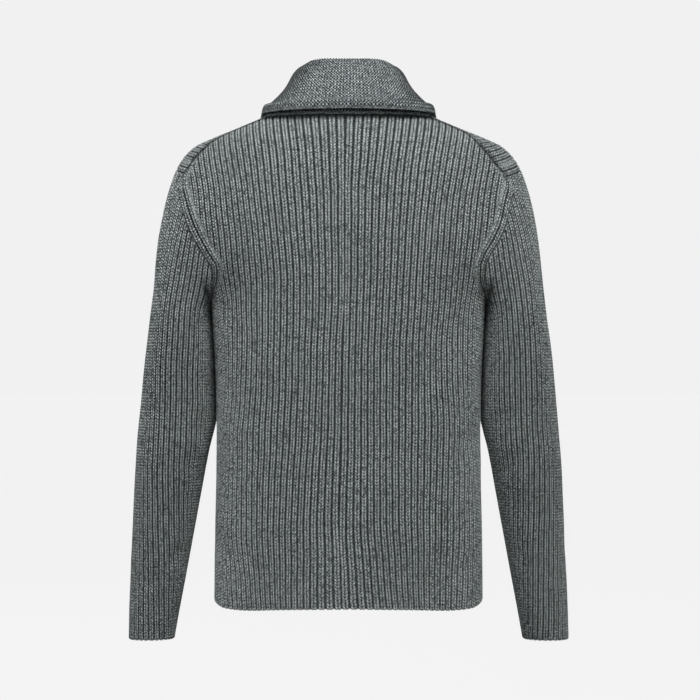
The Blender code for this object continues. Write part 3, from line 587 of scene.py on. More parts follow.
# %% The back's ribs
BACK_RIBS = 28                # on each side of the middle rib
BORDER_RIBS = 2
BORDER = 17.0                 # width of the border along side seam and armhole
RIB_CHART = (
    # z, distance from the middle to the 4th, 8th, 12th, 16th, 20th, 24th and 28th rib
    (-675, 43, 76, 104, 132, 164, 198, 232), (-557, 39, 73, 106, 138, 171, 201, 231),
    (-448, 36, 70, 105, 140, 171, 200, 230), (-338, 34, 68, 103, 135, 167, 199, 232),
    (-230, 35, 70, 105, 138, 171, 205, 240), (-120, 38, 77, 114, 147, 181, 216, 251),
    (-66, 42, 82, 121, 156, 190, 226, 261), (0, 48, 91, 132, 169, 204, 241, 277),
)
MIDDLE_RIB = ((-675, 9), (-612, 11), (-557, 13), (-448, 10), (-338, 8.5), (-230, 5), (-120, 5), (0, 4))
BACK_CREASES = (
    # x, z, x, z, width, height
    (-182, -432, -128, -500, 9, -2.4), (-186, -462, -140, -540, 11, 1.6),
    (184, -575, 140, -655, 10, -2.6), (180, -548, 128, -600, 12, 1.6), (182, -350, 138, -430, 13, -1.8),
    (-178, -240, -120, -345, 13, -2.4), (180, -238, 126, -330, 13, -2.2), (-184, -300, -150, -400, 11, 1.5),
    (44, -400, 30, -610, 26, -1.6), (-58, -360, -74, -570, 24, -1.8), (104, -300, 96, -520, 22, 1.4),
    (-180, -600, -128, -650, 10, -2.0), (-20, -210, -50, -330, 24, 1.2), (60, -120, 84, -240, 26, -1.3),
    (-96, -110, -112, -230, 24, -1.2), (0, -560, 8, -672, 20, 1.3), (-140, -560, -112, -670, 14, -1.4),
)


chart_rows = np.array(RIB_CHART, float)
CHART_STEP = 5.0
chart_levels = np.arange(-700, 21, CHART_STEP)
chart_ribs = np.arange(BACK_RIBS * POINTS_PER_RIB + 1) / POINTS_PER_RIB
chart_curves = [smooth_curve(chart_rows[:, 0], chart_rows[:, k]) for k in range(1, 8)]


def chart_row(z):
    """How far each column of the back lies from the middle one at height z."""
    fourth_ribs = [0] + [float(curve(z)) for curve in chart_curves]
    return smooth_curve(np.arange(0, BACK_RIBS + 1, 4), fourth_ribs)(chart_ribs)


chart = np.array([chart_row(z) for z in chart_levels])
middle_rib = columns_of(MIDDLE_RIB, "x")["x"]
STRAIGHT_Z = -120             # above this the ribs run straight on, seen from behind


def distance_around(q, z):
    """From the middle of the back to points on the form, by the slice at STRAIGHT_Z above it."""
    around = form.back_length(z) + q
    span = np.linspace(-form.back_length(STRAIGHT_Z), 0, 500)
    by_slice = np.interp(form.point(q, z)[..., 0], form.point(span, STRAIGHT_Z)[:, 0],
                         span + form.back_length(STRAIGHT_Z))
    return blend(around, by_slice, between(z, STRAIGHT_Z, STRAIGHT_Z + 25))


def place_ribs(sign, around, heights):
    """Where each column of one half crosses a row, as distances around from the middle."""
    columns = np.arange(len(chart_ribs))
    limit = around[-1] - BORDER
    level = np.full(len(columns), heights[0])
    for _ in range(3):
        row = (level - chart_levels[0]) / CHART_STEP
        under = np.floor(row).astype(int)
        place = blend(chart[under, columns], chart[under + 1, columns], row - under)
        shift = middle_rib(level) * (1 - (chart_ribs / BACK_RIBS) ** 3)
        place = np.minimum(place + sign * shift + 0.9 * sway(sign * place, level, 0.7), limit)
        level = np.interp(place, around, heights)
    border = np.linspace(0, BORDER, BORDER_RIBS * POINTS_PER_RIB + 1)[1:]
    return np.concatenate((place, limit + border)), np.concatenate((limit - place, border))


def build_back():
    q = np.concatenate((back_half[-1][0][:, :0:-1], back_half[1][0]), axis=1)
    z = np.concatenate((back_half[-1][1][:, :0:-1], back_half[1][1]), axis=1)
    sides = np.where(np.arange(q.shape[1]) < COARSE, -1.0, 1.0)
    new_q, new_z, new_side, cuts = [], [], [], []
    for row in range(len(q)):
        around = sides * distance_around(q[row], z[row])
        left, left_cut = place_ribs(-1, -around[COARSE::-1], z[row, COARSE::-1])
        right, right_cut = place_ribs(1, around[COARSE:], z[row, COARSE:])
        wanted = np.concatenate((-left[:0:-1], right))
        new_q.append(np.where(wanted < 0, np.interp(wanted, around[:COARSE + 1], q[row, :COARSE + 1]),
                              np.interp(wanted, around[COARSE:], q[row, COARSE:])))
        new_z.append(np.interp(wanted, around, z[row]))
        new_side.append(np.where(wanted < 0, -1.0, 1.0))
        cuts.append(np.concatenate((left_cut[:0:-1], right_cut)))
    q, z, side = np.array(new_q), np.array(new_z), np.array(new_side)
    mirror = np.stack((side, np.ones_like(side), np.ones_like(side)), axis=-1)
    last = (BACK_RIBS + BORDER_RIBS) * POINTS_PER_RIB
    phase = np.arange(-last, last + 1) / POINTS_PER_RIB
    return form.point(q, z) * mirror, form.normal(q, z) * mirror, phase, np.array(cuts)


back_points, back_normals, back_phase, back_cut = build_back()
print("back:", back_points.shape[1], "columns by", back_points.shape[0], "rows")

# %% [markdown]
# ## The fronts
# A front is knitted straight, and the V of its neck cuts through the ribs, so each rib stops
# where it meets the V. The same two border ribs run up the side seam and round the armhole.
# Over the shoulder the ribs run on to the seam behind it.

# %% The fronts' ribs
FRONT_RIBS = 26
SHOULDER_PITCH = 8.5          # between two ribs at the shoulder seam
CHEST_Z = -100                # up to here the armhole cuts into ribs that stand upright
TOP_ROW = BODY_ROWS + 42      # this row ends where the armhole turns over the shoulder


def build_front(side):
    q, z = front_half[side]
    mirror = np.array([side, 1, 1])
    points = form.point(q, z) * mirror
    normals = form.normal(q, z) * mirror
    wide = lengths_along(points[BODY_ROWS, ::-1])[-1]
    border = np.linspace(0, BORDER, BORDER_RIBS * POINTS_PER_RIB + 1)[:-1]
    columns = np.arange(FRONT_RIBS * POINTS_PER_RIB + 1)
    out_points, out_normals, out_gap, out_cut = [], [], [], []
    for row in range(len(points)):
        line, around = points[row, ::-1], normals[row, ::-1]
        length = lengths_along(line)
        above = max(0, row - BODY_ROWS) / FRONT_ARMHOLE_ROWS
        pitch, bite = (length[-1] - BORDER) / FRONT_RIBS, 0.0
        if above > 0:
            pitch = blend((wide - BORDER) / FRONT_RIBS, SHOULDER_PITCH, ease(above * 1.3))
            level = z[row, -1]
            straight = blend(form.front_length(ARMPIT_Z), form.front_length(CHEST_Z) - q[TOP_ROW, -1],
                             np.clip((level - ARMPIT_Z) / (CHEST_Z - ARMPIT_Z), 0, 1))
            bite = max(0.0, float(straight - form.front_length(level) + q[row, -1])) * ease((1 - above) * 3)
        place = BORDER + columns * pitch / POINTS_PER_RIB - bite
        place = place + 0.8 * sway(columns * 1.06, line[0, 2], 1.9 * side) * ease(columns / 30)
        place = np.clip(np.maximum.accumulate(place), BORDER, length[-1])
        place[-1] = length[-1]
        cut = np.concatenate((BORDER - border, np.minimum(place - BORDER, length[-1] - place)))
        place = np.concatenate((border, place))
        out_points.append(read_line(place, length, line))
        out_normals.append(read_line(place, length, around))
        out_gap.append(length[-1] - place)
        out_cut.append(cut)
    phase = np.concatenate((border / BORDER * BORDER_RIBS, BORDER_RIBS + columns / POINTS_PER_RIB))
    return np.array(out_points), unit(np.array(out_normals)), phase, np.array(out_gap), np.array(out_cut)


fronts = {side: build_front(side) for side in (1, -1)}
print("fronts:", fronts[1][0].shape[1], "columns by", fronts[1][0].shape[0], "rows")

# %% [markdown]
# ## The armholes and sleeves
# A sleeve starts at the loop of the armhole and turns down along the arm. The loop runs up the
# edge of the front, over the shoulder and down the edge of the back. Where the two cloths
# meet, both end in the same direction, so that the seam closes with no step.

# %% The loop of the armhole
OUTWARDS = (0.42, 0, 0.9)     # the way in which both cloths leave the bottom of the armhole
SEAM_BLEND = 4                # points beside it that turn that way too


class Armhole:
    def __init__(self, side):
        front, front_normals = fronts[side][0], fronts[side][1]
        edge, beside = (-1, -9) if side > 0 else (0, 8)
        up = slice(BODY_ROWS, None)
        down = slice(-2, BODY_ROWS, -1)
        self.side = side
        self.top = round(FRONT_KNOTS[-2] * FRONT_ARMHOLE_ROWS)
        self.points = np.concatenate((front[up, 0], back_points[down, edge]))
        inside = np.concatenate((front[up, 8], back_points[down, beside]))
        self.normals = np.concatenate((front_normals[up, 0], back_normals[down, edge]))
        self.along = unit(np.roll(self.points, -2, axis=0) - np.roll(self.points, 2, axis=0))
        self.leaving = self.square_to(self.points - inside)
        self.leaving[0] = unit(np.array(OUTWARDS) * (side, 1, 1))
        for k in range(1, SEAM_BLEND):
            for near in (k, -k):
                self.leaving[near] = unit(blend(self.leaving[0], self.leaving[near], k / SEAM_BLEND))

    def square_to(self, directions):
        level = np.sum(directions * self.along, axis=-1, keepdims=True)
        return unit(directions - level * self.along)

    def wall(self, sleeve):
        entering = self.square_to(sleeve[2] - sleeve[0])
        through = unit(self.leaving + entering)
        wall = unit(np.cross(self.along, through))
        return wall * np.sign(np.sum(wall * (self.normals + np.array([0, 0, -0.5])), axis=-1,
                                     keepdims=True))


armholes = {side: Armhole(side) for side in (1, -1)}
print("armhole loops:", [round(float(lengths_along(loop.points)[-1])) for loop in armholes.values()], "mm")

# %% [markdown]
# ## From the armhole to the cuff
# The sleeve is a tube of rings. Its cap runs from the loop of the armhole down to a ring round
# the upper arm, along curves that leave the shoulder outwards and turn down. The loop has a
# corner at the shoulder seam, which a cap of cloth would round off within a few rows.

# %% Rings of the sleeve
CAP_ROWS = 34
CORNER_ROWS = 6               # rows of the cap over which the loop's corner is rounded off
CORNER_REACH = 30.0           # how far that rounding goes on each side of the shoulder seam
TAPER_STEP = 6.0              # length of sleeve over which its taper is read
CUFF_STEPS = np.array([0.021, 0.013, 0.0075, 0.004, 0.0015, 0])
SLEEVE_STEPS = np.concatenate((np.linspace(0, 1 - 0.035, 48)[1:], 1 - CUFF_STEPS))


def sleeve_ring(z, shares):
    section = columns_of(SLEEVE, "inner_x", "outer_x", "middle_y", "half_depth", "squareness")
    turns = np.linspace(-math.pi, math.pi, 361)
    power = 2 / section["squareness"](z)
    middle = 0.5 * (section["inner_x"](z) + section["outer_x"](z))
    half = 0.5 * (section["outer_x"](z) - section["inner_x"](z))
    x = middle + half * signed_power(np.cos(turns), power)
    y = section["middle_y"](z) + section["half_depth"](z) * signed_power(np.sin(turns), power)
    length = np.concatenate(([0], np.cumsum(np.hypot(np.diff(x), np.diff(y)))))
    length /= length[-1]
    return np.stack([np.interp(shares, length, x), np.interp(shares, length, y),
                     np.full(len(shares), float(z))], axis=-1)


def sleeve_rows(armhole):
    """Rings of points from the armhole's loop to the cuff, with the same count in each."""
    mirror = np.array([armhole.side, 1, 1])
    away = armhole.points * mirror
    length = lengths_along(np.concatenate((away, away[:1])))
    shares = np.interp(length[:-1], (0, length[armhole.top], length[-1]), (0, 0.5, 1))
    length = length[:-1]
    apart = np.abs(length - length[FRONT_ARMHOLE_ROWS]) > CORNER_REACH

    def past_corner(values):
        return np.stack([smooth_curve(length[apart], values[apart, k])(length) for k in range(3)], axis=-1)

    origin = past_corner(away)
    leaving = unit(past_corner(armhole.leaving)) * mirror
    top_z = SLEEVE[0][0]
    first = sleeve_ring(top_z, shares)
    onwards = (sleeve_ring(top_z - TAPER_STEP, shares) - first) / TAPER_STEP
    rows = []
    # High on the cap a curve leaves along the shoulder, and low down it leaves down the arm.
    for row, t in enumerate(np.linspace(0, 1, CAP_ROWS + 1)):
        loop = blend(away, origin, ease(row / CORNER_ROWS))
        drop = loop[:, 2:3] - top_z
        lean = 0.85 * (loop[:, 2:3] - ARMPIT_Z) / (RIDGE_TIP_Z - ARMPIT_Z)
        start = unit(leaving * lean + np.array([0.15, 0, -1.0]) * (1.1 - lean)) * drop
        rows.append((1 + 2 * t) * (1 - t) ** 2 * loop + t * (1 - t) ** 2 * start
                    + t * t * (3 - 2 * t) * first + t * t * (t - 1) * drop * onwards)
    for step in SLEEVE_STEPS:
        rows.append(sleeve_ring(blend(top_z, CUFF_Z, step), shares))
    return np.stack(rows) * mirror


def ring_normals(rings, side):
    down = np.gradient(rings, axis=0)
    around = np.roll(rings, -2, axis=1) - np.roll(rings, 2, axis=1)
    return unit(np.cross(down, around)) * side


rings = {side: sleeve_rows(armholes[side]) for side in (1, -1)}
walls = {side: armholes[side].wall(rings[side]) for side in (1, -1)}
print("each sleeve has", len(rings[1]), "rings of", rings[1].shape[1], "points")

# %% [markdown]
# ## Ribs down the sleeve
# The ribs of a sleeve start at its outer line, from the top of the shoulder to the cuff, and
# are counted from there to the front and to the back. Each keeps its distance from the next
# one, so the ribs nearest to the seam under the arm run out against it as the sleeve tapers.

# %% The sleeves' ribs
SLEEVE_PITCH = 7.8            # between two ribs
CAP_LEVELS = 52
HELD = 12.0                   # the cloth keeps the armhole's direction this far from the seam


def level_line(grid, level, order, loop_z=None):
    """The points where some columns of the sleeve pass a height, from its outer line on.
    Above the armpit loop_z holds the heights of the armhole's loop, where the line ends."""
    line = []
    for k, column in enumerate(order):
        if loop_z is not None and loop_z[column] <= level:
            before = order[k - 1]
            share = (loop_z[before] - level) / max(loop_z[before] - loop_z[column], 1e-6)
            line.append(blend(grid[0, before], grid[0, column], share))
            return np.array(line)
        heights = grid[::-1, column, 2]
        line.append([np.interp(level, heights, grid[::-1, column, k]) for k in range(grid.shape[2])])
    return np.array(line)


def rib_lines(grid, top, side, count):
    """Points at even rib spacing each way from the sleeve's outer line, level by level.

    grid holds points, normals and the wall direction at the armhole. Above the armpit a
    level ends at the armhole's edge on both sides, and below it at the seam under the arm.
    """
    loop_z = grid[0, :, 2]
    total = grid.shape[1]
    up_front = list(range(top, -1, -1))
    down_back = list(range(top, total)) + [0]
    apex = loop_z[top] - 0.3
    cap = blend(apex, ARMPIT_Z, np.linspace(0, 1, CAP_LEVELS + 1) ** 1.5)
    upper = np.linspace(ARMPIT_Z, SLEEVE[0][0], 8)[1:]
    levels = np.concatenate((cap[:-1], [ARMPIT_Z + 0.01], upper, grid[CAP_ROWS + 1:, 0, 2]))
    columns = np.arange(count * POINTS_PER_RIB + 1)
    points, normals, gaps = [], [], []
    for level in levels:
        halves = []
        for order in (up_front, down_back):
            line = level_line(grid, level, order, loop_z if level > ARMPIT_Z else None)
            length = lengths_along(line[:, :3])
            place = columns * SLEEVE_PITCH / POINTS_PER_RIB
            place = place + 0.9 * sway(place, level, 3.1 * side) * ease(columns / 40)
            place = np.minimum(np.maximum.accumulate(place), length[-1])
            place[-1] = length[-1]
            read = read_line(place, length, line)
            gap = length[-1] - place
            turn = read[:, 3:6]
            if level > ARMPIT_Z - HELD:
                held = ease((level - ARMPIT_Z + HELD) / HELD)
                turn = unit(blend(turn, blend(line[-1, 6:9], turn, ease(gap / HELD)[:, None]), held))
            halves.append((read[:, :3], turn, gap))
        for rows, before, behind in zip((points, normals, gaps), *halves):
            rows.append(np.concatenate((before[::-1], behind[1:])))
    phase = np.concatenate((-columns[::-1], columns[1:])) / POINTS_PER_RIB
    return np.array(points), unit(np.array(normals)), np.array(gaps), phase, levels


sleeves = {}
for side in (1, -1):
    held = np.broadcast_to(walls[side], rings[side].shape)
    grid = np.concatenate((rings[side], ring_normals(rings[side], side), held), axis=2)
    around = max(lengths_along(ring)[armholes[side].top] for ring in rings[side])
    behind = max(lengths_along(np.concatenate((ring, ring[:1])))[-1]
                 - lengths_along(ring)[armholes[side].top] for ring in rings[side][CAP_ROWS:])
    count = math.ceil(max(around, behind) / SLEEVE_PITCH) + 1
    sleeves[side] = rib_lines(grid, armholes[side].top, side, count)
    print("sleeve", side, "has", 2 * count, "ribs in", len(sleeves[side][4]), "rows")

# %% [markdown]
# ## Creases
# Thick knit hangs in a few soft creases where it gathers: under the arms, at the waist, inside
# the elbows and above the cuffs. Each is placed as a line with a width and a height,
# which is negative for a trough. A sleeve has one set behind and one before.

# %% Creases of the fronts and sleeves
FRONT_CREASES = (
    # x, z, x, z, width, height
    (176, -240, 118, -335, 13, -2.4), (182, -430, 128, -510, 11, -2.0), (180, -560, 124, -640, 11, -2.2),
    (96, -330, 84, -560, 22, -1.6), (50, -300, 40, -480, 20, 1.3), (150, -120, 118, -225, 20, -1.7),
    (130, -560, 112, -668, 16, 1.4), (60, -540, 46, -650, 18, -1.3), (178, -330, 150, -400, 12, 1.4),
    (204, -140, 160, -200, 14, -1.4),
)
SLEEVE_CREASES_BEHIND = (
    (196, -432, 242, -398, 9, -3.0), (192, -462, 252, -446, 11, 1.8), (200, -500, 250, -470, 9, -2.6),
    (206, -520, 262, -560, 12, -1.8), (226, -596, 258, -634, 7, -2.6), (232, -586, 272, -604, 9, 1.5),
    (298, -640, 262, -664, 9, -1.8), (236, -300, 228, -420, 16, -1.6), (268, -240, 276, -400, 18, 1.2),
    (246, -660, 286, -690, 10, -1.5), (216, -215, 240, -290, 12, -1.6),
)
SLEEVE_CREASES_BEFORE = (
    (196, -420, 250, -452, 9, -3.2), (194, -446, 262, -470, 10, 2.0), (200, -486, 256, -500, 9, -3.0),
    (208, -540, 262, -520, 11, -2.0), (232, -610, 276, -640, 9, -2.2), (240, -660, 292, -676, 10, -1.6),
    (232, -290, 222, -400, 15, -1.8), (262, -250, 272, -380, 18, 1.3), (284, -560, 300, -620, 11, -1.4),
)

print("creases:", len(BACK_CREASES) + 2 * len(FRONT_CREASES), "on the body and",
      2 * len(SLEEVE_CREASES_BEHIND + SLEEVE_CREASES_BEFORE), "on the sleeves")

# %% [markdown]
# ## One ribbed piece
# The back, the fronts and the sleeves get their walls in the same way. Near a sewn seam the
# creases fade and the face dips into the ditch, whose colour gets painted shade. At the hem and
# the cuffs each rib ends in its own small scallop. Where a sleeve rests against the body, both
# swell to close the crevice, and its colour is darkened as painted shade, as no light reaches it.

# %% One ribbed shell
STITCH = 4.1                  # height of a row of stitches: 3.3 on the real cloth, too fine to show
SEAM_FLAT = 16.0              # creases fade out this near to a seam
CREVICE_LIFT = 1.6            # body and sleeve swell towards each other where they touch


def faded(distance, reach):
    return 1 - np.exp(-(distance / reach) ** 2)


def column_lengths(points, from_last=False):
    steps = np.linalg.norm(np.diff(points, axis=0), axis=-1)
    if from_last:
        total = np.cumsum(steps[::-1], axis=0)[::-1]
        return np.concatenate((total, np.zeros((1, points.shape[1]))))
    return np.concatenate((np.zeros((1, points.shape[1])), np.cumsum(steps, axis=0)))


def row_lengths(points):
    steps = np.linalg.norm(np.diff(points, axis=1), axis=-1)
    return np.concatenate((np.zeros((points.shape[0], 1)), np.cumsum(steps, axis=1)), axis=1)


def ribbed_piece(name, points, normals, phase, free, seam, cut, soft, drape, stretch=0.0,
                 crevice=0.0, along=None, open_rows=None, fade=2.5):
    """A ribbed shell. free, seam and cut are distances to a free edge, a sewn seam, and the
    line where ribs are cut off, over whose last fade millimetres a rib flattens out. soft is 1
    where the ribs are flat and fuzzy and 0 where they are full, stretch is 1 where they are
    pulled flat, and crevice is 1 deep between pieces, where the cloth swells and gets painted shade."""
    phase = np.broadcast_to(phase, points.shape[:2])
    relief = blend(0.85 * FURROW, rib_relief(phase), ease(cut / fade))
    rib_depth = (1 - soft) * (1 - stretch) * (1 + 0.1 * sway(points[..., 0], points[..., 2], 5.0))
    seam_near = np.exp(-(seam / 1.8) ** 2)
    lift = drape * faded(seam, SEAM_FLAT) + CREVICE_LIFT * np.broadcast_to(crevice, phase.shape)
    face, reverse = knit_walls(points, normals, lift, relief, rib_depth, free, seam_near)
    scallop = (relief / FURROW * 2.0 - 0.7) * np.exp(-free / 4.5) * (1 - 0.5 * soft)
    rise = np.array([0, 0, 1.0]) * scallop[..., None]
    if along is None:
        along = column_lengths(points)
    along = np.broadcast_to(along, phase.shape) / STITCH
    # painted shade: the colour darkens in a seam's ditch and in the crevice between sleeve and body
    shade = np.clip(np.maximum(np.exp(-(seam / 1.5) ** 2), crevice), 0, 1)
    full = np.clip(1 - 0.8 * soft, 0, 1) * ease(cut / fade)
    return shell(name, face + rise, reverse + rise, phase, along, shade, full, open_rows)


def crevice_at(points):
    """1 where the sleeve lies against the body, from the armpit down to where it hangs free; there the cloth
    swells and gets painted shade.
    """
    x, y, z = np.abs(points[..., 0]), points[..., 1], points[..., 2]
    side = np.interp(z, [-420, -300, -255, -235, -200], [184, 187.5, 191, 194, 196])
    beside = np.exp(-((x - side - 1.5) / 6.5) ** 2)
    return 0.97 * beside * between(z, -432, -406) * between(z, -212, -242) * between(y, -75, -35)


print("stitches in the length of the back:", round((NECKLINE_Z - HEM_Z) / STITCH))

# %% [markdown]
# ## The back's walls
# Near an armhole the wall turns to the direction that both cloths share, so that back and
# sleeve meet with no step. The shoulders stretch the ribs a little flatter, and towards the
# side seams below the waist they are softer, with more fuzz.

# %% The back's shell
pieces = {}
x, z = back_points[..., 0], back_points[..., 2]
centre = (BACK_RIBS + BORDER_RIBS) * POINTS_PER_RIB
across = row_lengths(back_points)
to_side = np.minimum(across, across[:, -1:] - across)
to_top = column_lengths(back_points, from_last=True)
for side, column in ((1, -1), (-1, 0)):
    down = walls[side][FRONT_ARMHOLE_ROWS:][::-1]
    rows = np.arange(BODY_ROWS + 1, len(back_points))
    for row, wall in zip(rows, down[:len(rows)]):
        near = ease(np.abs(across[row] - across[row, column]) / HELD)[:, None]
        back_normals[row] = unit(blend(wall, back_normals[row], near))
    near = ease(np.abs(across[BODY_ROWS] - across[BODY_ROWS, column]) / HELD)[:, None]
    back_normals[BODY_ROWS] = unit(blend(walls[side][0], back_normals[BODY_ROWS], near))
low_side = between(np.abs(x), 124, 174) * between(z, -320, -410)
soft = 0.22 * low_side + 0.08 * between(z, -560, -640)
drape = crease_field(x, z, BACK_CREASES) + 0.7 * sway(x, z, 0.4)
pulled = back_points.copy()
for column, beside in ((0, 1), (-1, -2)):
    inward = unit(back_points[:, beside] - back_points[:, column])
    pulled[:, column] += 0.5 * SEAM_GAP * inward
pulled[-1] += 0.5 * SEAM_GAP * unit(back_points[-2] - back_points[-1])
pieces["back"] = ribbed_piece("cardigan_back", pulled, back_normals, back_phase,
                              column_lengths(back_points), np.minimum(to_side, to_top),
                              back_cut, soft, drape, 0.35 * between(z, -110, -60),
                              crevice_at(back_points))

# %% [markdown]
# ## The fronts' walls
# The fronts are finished like the back. Their last stretch, which comes over the shoulder, is
# pulled flatter by the weight of the garment, and creases are kept to the front side.

# %% The two fronts
for side, hand in ((1, "left"), (-1, "right")):
    points, normals, phase, gap, cut = fronts[side]
    x, z = np.abs(points[..., 0]), points[..., 2]
    across = row_lengths(points)
    for row in range(BODY_ROWS, len(points)):
        near = ease(across[row] / HELD)[:, None]
        normals[row] = unit(blend(walls[side][row - BODY_ROWS], normals[row], near))
    to_top = column_lengths(points, from_last=True)
    low_side = between(x, 120, 175) * between(z, -320, -410)
    before = between(points[..., 1], 20, -20)
    drape = (crease_field(x, z, FRONT_CREASES) + 0.7 * sway(points[..., 0], z, 2.4)) * before
    pulled = points.copy()
    inward = unit(points[:, 1] - points[:, 0])
    pulled[:, 0] += 0.5 * SEAM_GAP * inward
    pulled[gap <= 0] -= 0.5 * SEAM_GAP * np.broadcast_to(inward[:, None], points.shape)[gap <= 0]
    pulled[-1] += 0.5 * SEAM_GAP * unit(points[-2] - points[-1])
    pieces["front_" + hand] = ribbed_piece("cardigan_front_" + hand, pulled, normals, phase,
                                           column_lengths(points),
                                           np.minimum(np.minimum(across, gap), to_top), cut,
                                           0.22 * low_side, drape, 0.7 * between(to_top, 75, 45),
                                           crevice_at(points))

# %% [markdown]
# ## The sleeves' walls
# A sleeve's ribs are full in the upper arm and softer towards the cuff, where the cloth rubs.
# The two edges under the arm meet in one seam, so below the armpit the shell closes on itself.

# %% The two sleeves
for side, hand in ((1, "left"), (-1, "right")):
    points, normals, gap, phase, levels = sleeves[side]
    x, z = np.abs(points[..., 0]), points[..., 2]
    behind = between(points[..., 1], -30, 0)
    lines = blend(crease_field(x, z, SLEEVE_CREASES_BEFORE),
                  crease_field(x, z, SLEEVE_CREASES_BEHIND), behind)
    drape = (lines + 0.6 * sway(x, z, 1.1 + side)) * between(z, -190, -250)
    soft = 0.1 * between(z, -560, -650) + 0.1 * between(x, 285, 305)
    stretch = 0.15 * between(z, -170, -100)
    above = (levels > ARMPIT_Z)[:, None]
    seam = np.where(above, gap, gap + 1.6)
    outer = points[:, points.shape[1] // 2]
    along = lengths_along(outer)[:, None]
    pieces["sleeve_" + hand] = ribbed_piece("cardigan_sleeve_" + hand, points, normals, phase,
                                            column_lengths(points, from_last=True), seam, gap, soft,
                                            drape, stretch, crevice_at(points), along,
                                            int(np.sum(above)), 1.2)

# %% [markdown]
# ## The shawl collar
# The collar is one long strip in moss stitch, where knit and purl change places at every
# stitch, so the face is a lattice of small bumps. It is sewn to the neck, stands up, and
# rolls over to a thick rounded edge. Its rows are counted from that free edge. The bumps are
# real: each second point of the grid stands proud, and the next lies lower.

# %% The path across the collar
MOSS_ACROSS = 2.2             # half of one stitch along the strip
PATH_STEPS = (16, 12, 6, 6, 12, 22)     # seam, stand, into the fold, over it, out, fall, edge
FOLD_ROW = sum(PATH_STEPS[:3])


def smooth_path(points, counts):
    before = np.concatenate((2 * points[:1] - points[1:2], points, 2 * points[-1:] - points[-2:-1]))
    path = []
    for i, count in enumerate(counts):
        p0, p1, p2, p3 = before[i:i + 4]
        for t in np.arange(count) / count:
            path.append(0.5 * (2 * p1 + (p2 - p0) * t + (2 * p0 - 5 * p1 + 4 * p2 - p3) * t ** 2
                               + (3 * p1 - p0 - 3 * p2 + p3) * t ** 3))
    path.append(points[-1])
    return np.stack(path)


def neck_seam(side):
    """The seam that the collar is sewn to, from the centre back to the bottom of the V."""
    order = slice(centre, None) if side > 0 else slice(centre, None, -1)
    top, top_normals = back_points[-1, order], back_normals[-1, order]
    wanted = np.linspace(0, NECK_HALF_WIDTH - 1.5, 60)
    reach = side * top[:, 0]
    neck, neck_normals = read_line(wanted, reach, top), read_line(wanted, reach, top_normals)
    neck[0, 0] = 0.0
    points, normals = fronts[side][0], fronts[side][1]
    v_edge = slice(-1, BODY_ROWS - 1, -1)
    line = np.concatenate((neck, points[v_edge, -1]))
    turn = np.concatenate((neck_normals, normals[v_edge, -1]))
    length = lengths_along(line)
    count = int(length[-1] / MOSS_ACROSS)
    place = np.linspace(0, length[-1], count + 1)
    return read_line(place, length, line), unit(read_line(place, length, turn))


def collar_half(side):
    seam, normals = neck_seam(side)
    curves = columns_of(COLLAR, "fold_x", "fold_y", "fold_z", "edge_x", "edge_y", "edge_z",
                        "hollow", "bulge", "roll")
    mirror = np.array([side, 1, 1])
    root = (seam - 0.5 * WALL * normals) * mirror
    along = lengths_along(root)
    along *= COLLAR_LENGTH / along[-1]
    fold = np.stack([curves["fold_" + axis](along) for axis in "xyz"], axis=-1)
    edge = np.stack([curves["edge_" + axis](along) for axis in "xyz"], axis=-1)
    hollow, bulge, roll = (curves[name](along)[:, None] for name in ("hollow", "bulge", "roll"))
    towards_neck = unit(fold * np.array([-1, -1, 0]))
    stand = blend(root, fold, 0.5) + towards_neck * hollow
    fall = blend(fold, edge, 0.5)
    back_down = unit((stand - fold) + (fall - fold) + 1e-6)
    out = fall - stand
    out = unit(out - back_down * np.sum(out * back_down, axis=-1, keepdims=True))
    fall = fall + out * bulge
    turn_in = fold + ROLL_RADIUS * (1.6 * back_down - out)
    turn_out = fold + ROLL_RADIUS * (1.6 * back_down + out)
    near_in = blend(blend(fold, stand, 0.3), turn_in, roll)
    near_out = blend(blend(fold, fall, 0.3), turn_out, roll)
    rows = smooth_path(np.stack([root, stand, near_in, fold, near_out, fall, edge]), PATH_STEPS)
    if side < 0:
        tuck = columns_of(TUCK, "seam", "edge")
        share = np.linspace(0, 1, len(rows))[:, None]
        rows[:, :, 1] += blend(tuck["seam"](along)[None], tuck["edge"](along)[None], share)
    return rows * mirror, normals, along


collar_halves = collar_half(1), collar_half(-1)
print("collar seam:", round(2 * float(lengths_along(neck_seam(1)[0])[-1])), "mm")

# %% [markdown]
# ## The collar's thickness and bumps
# The strip has its own weight: the fall hangs a little lower behind, its shoulders slump, and
# the cloth is gathered into a low cushion beside the neck seam. The free edge is a soft roll,
# nearly three times as thick as the strip. The rows of stitches are laid out from that edge.

# %% The collar's shell
MOSS_ALONG = 2.25             # half of one stitch across the strip
MOSS_RELIEF = 0.8             # height of a bump, and depth of the dip beside it
EDGE_DROP, EDGE_DROP_SIDE = 5.0, 6.5    # how much lower the fall hangs, behind and 120 along
SHOULDER_DROP = 3.3           # of the fold's corners, 82 along on each side
CUSHION = 4.5                 # height of the swell beside the neck seam
EDGE_SWELL = 4.0              # extra half thickness of the rolled edge
EDGE_ROUND = 12.0             # the edge's rounding starts this far from it


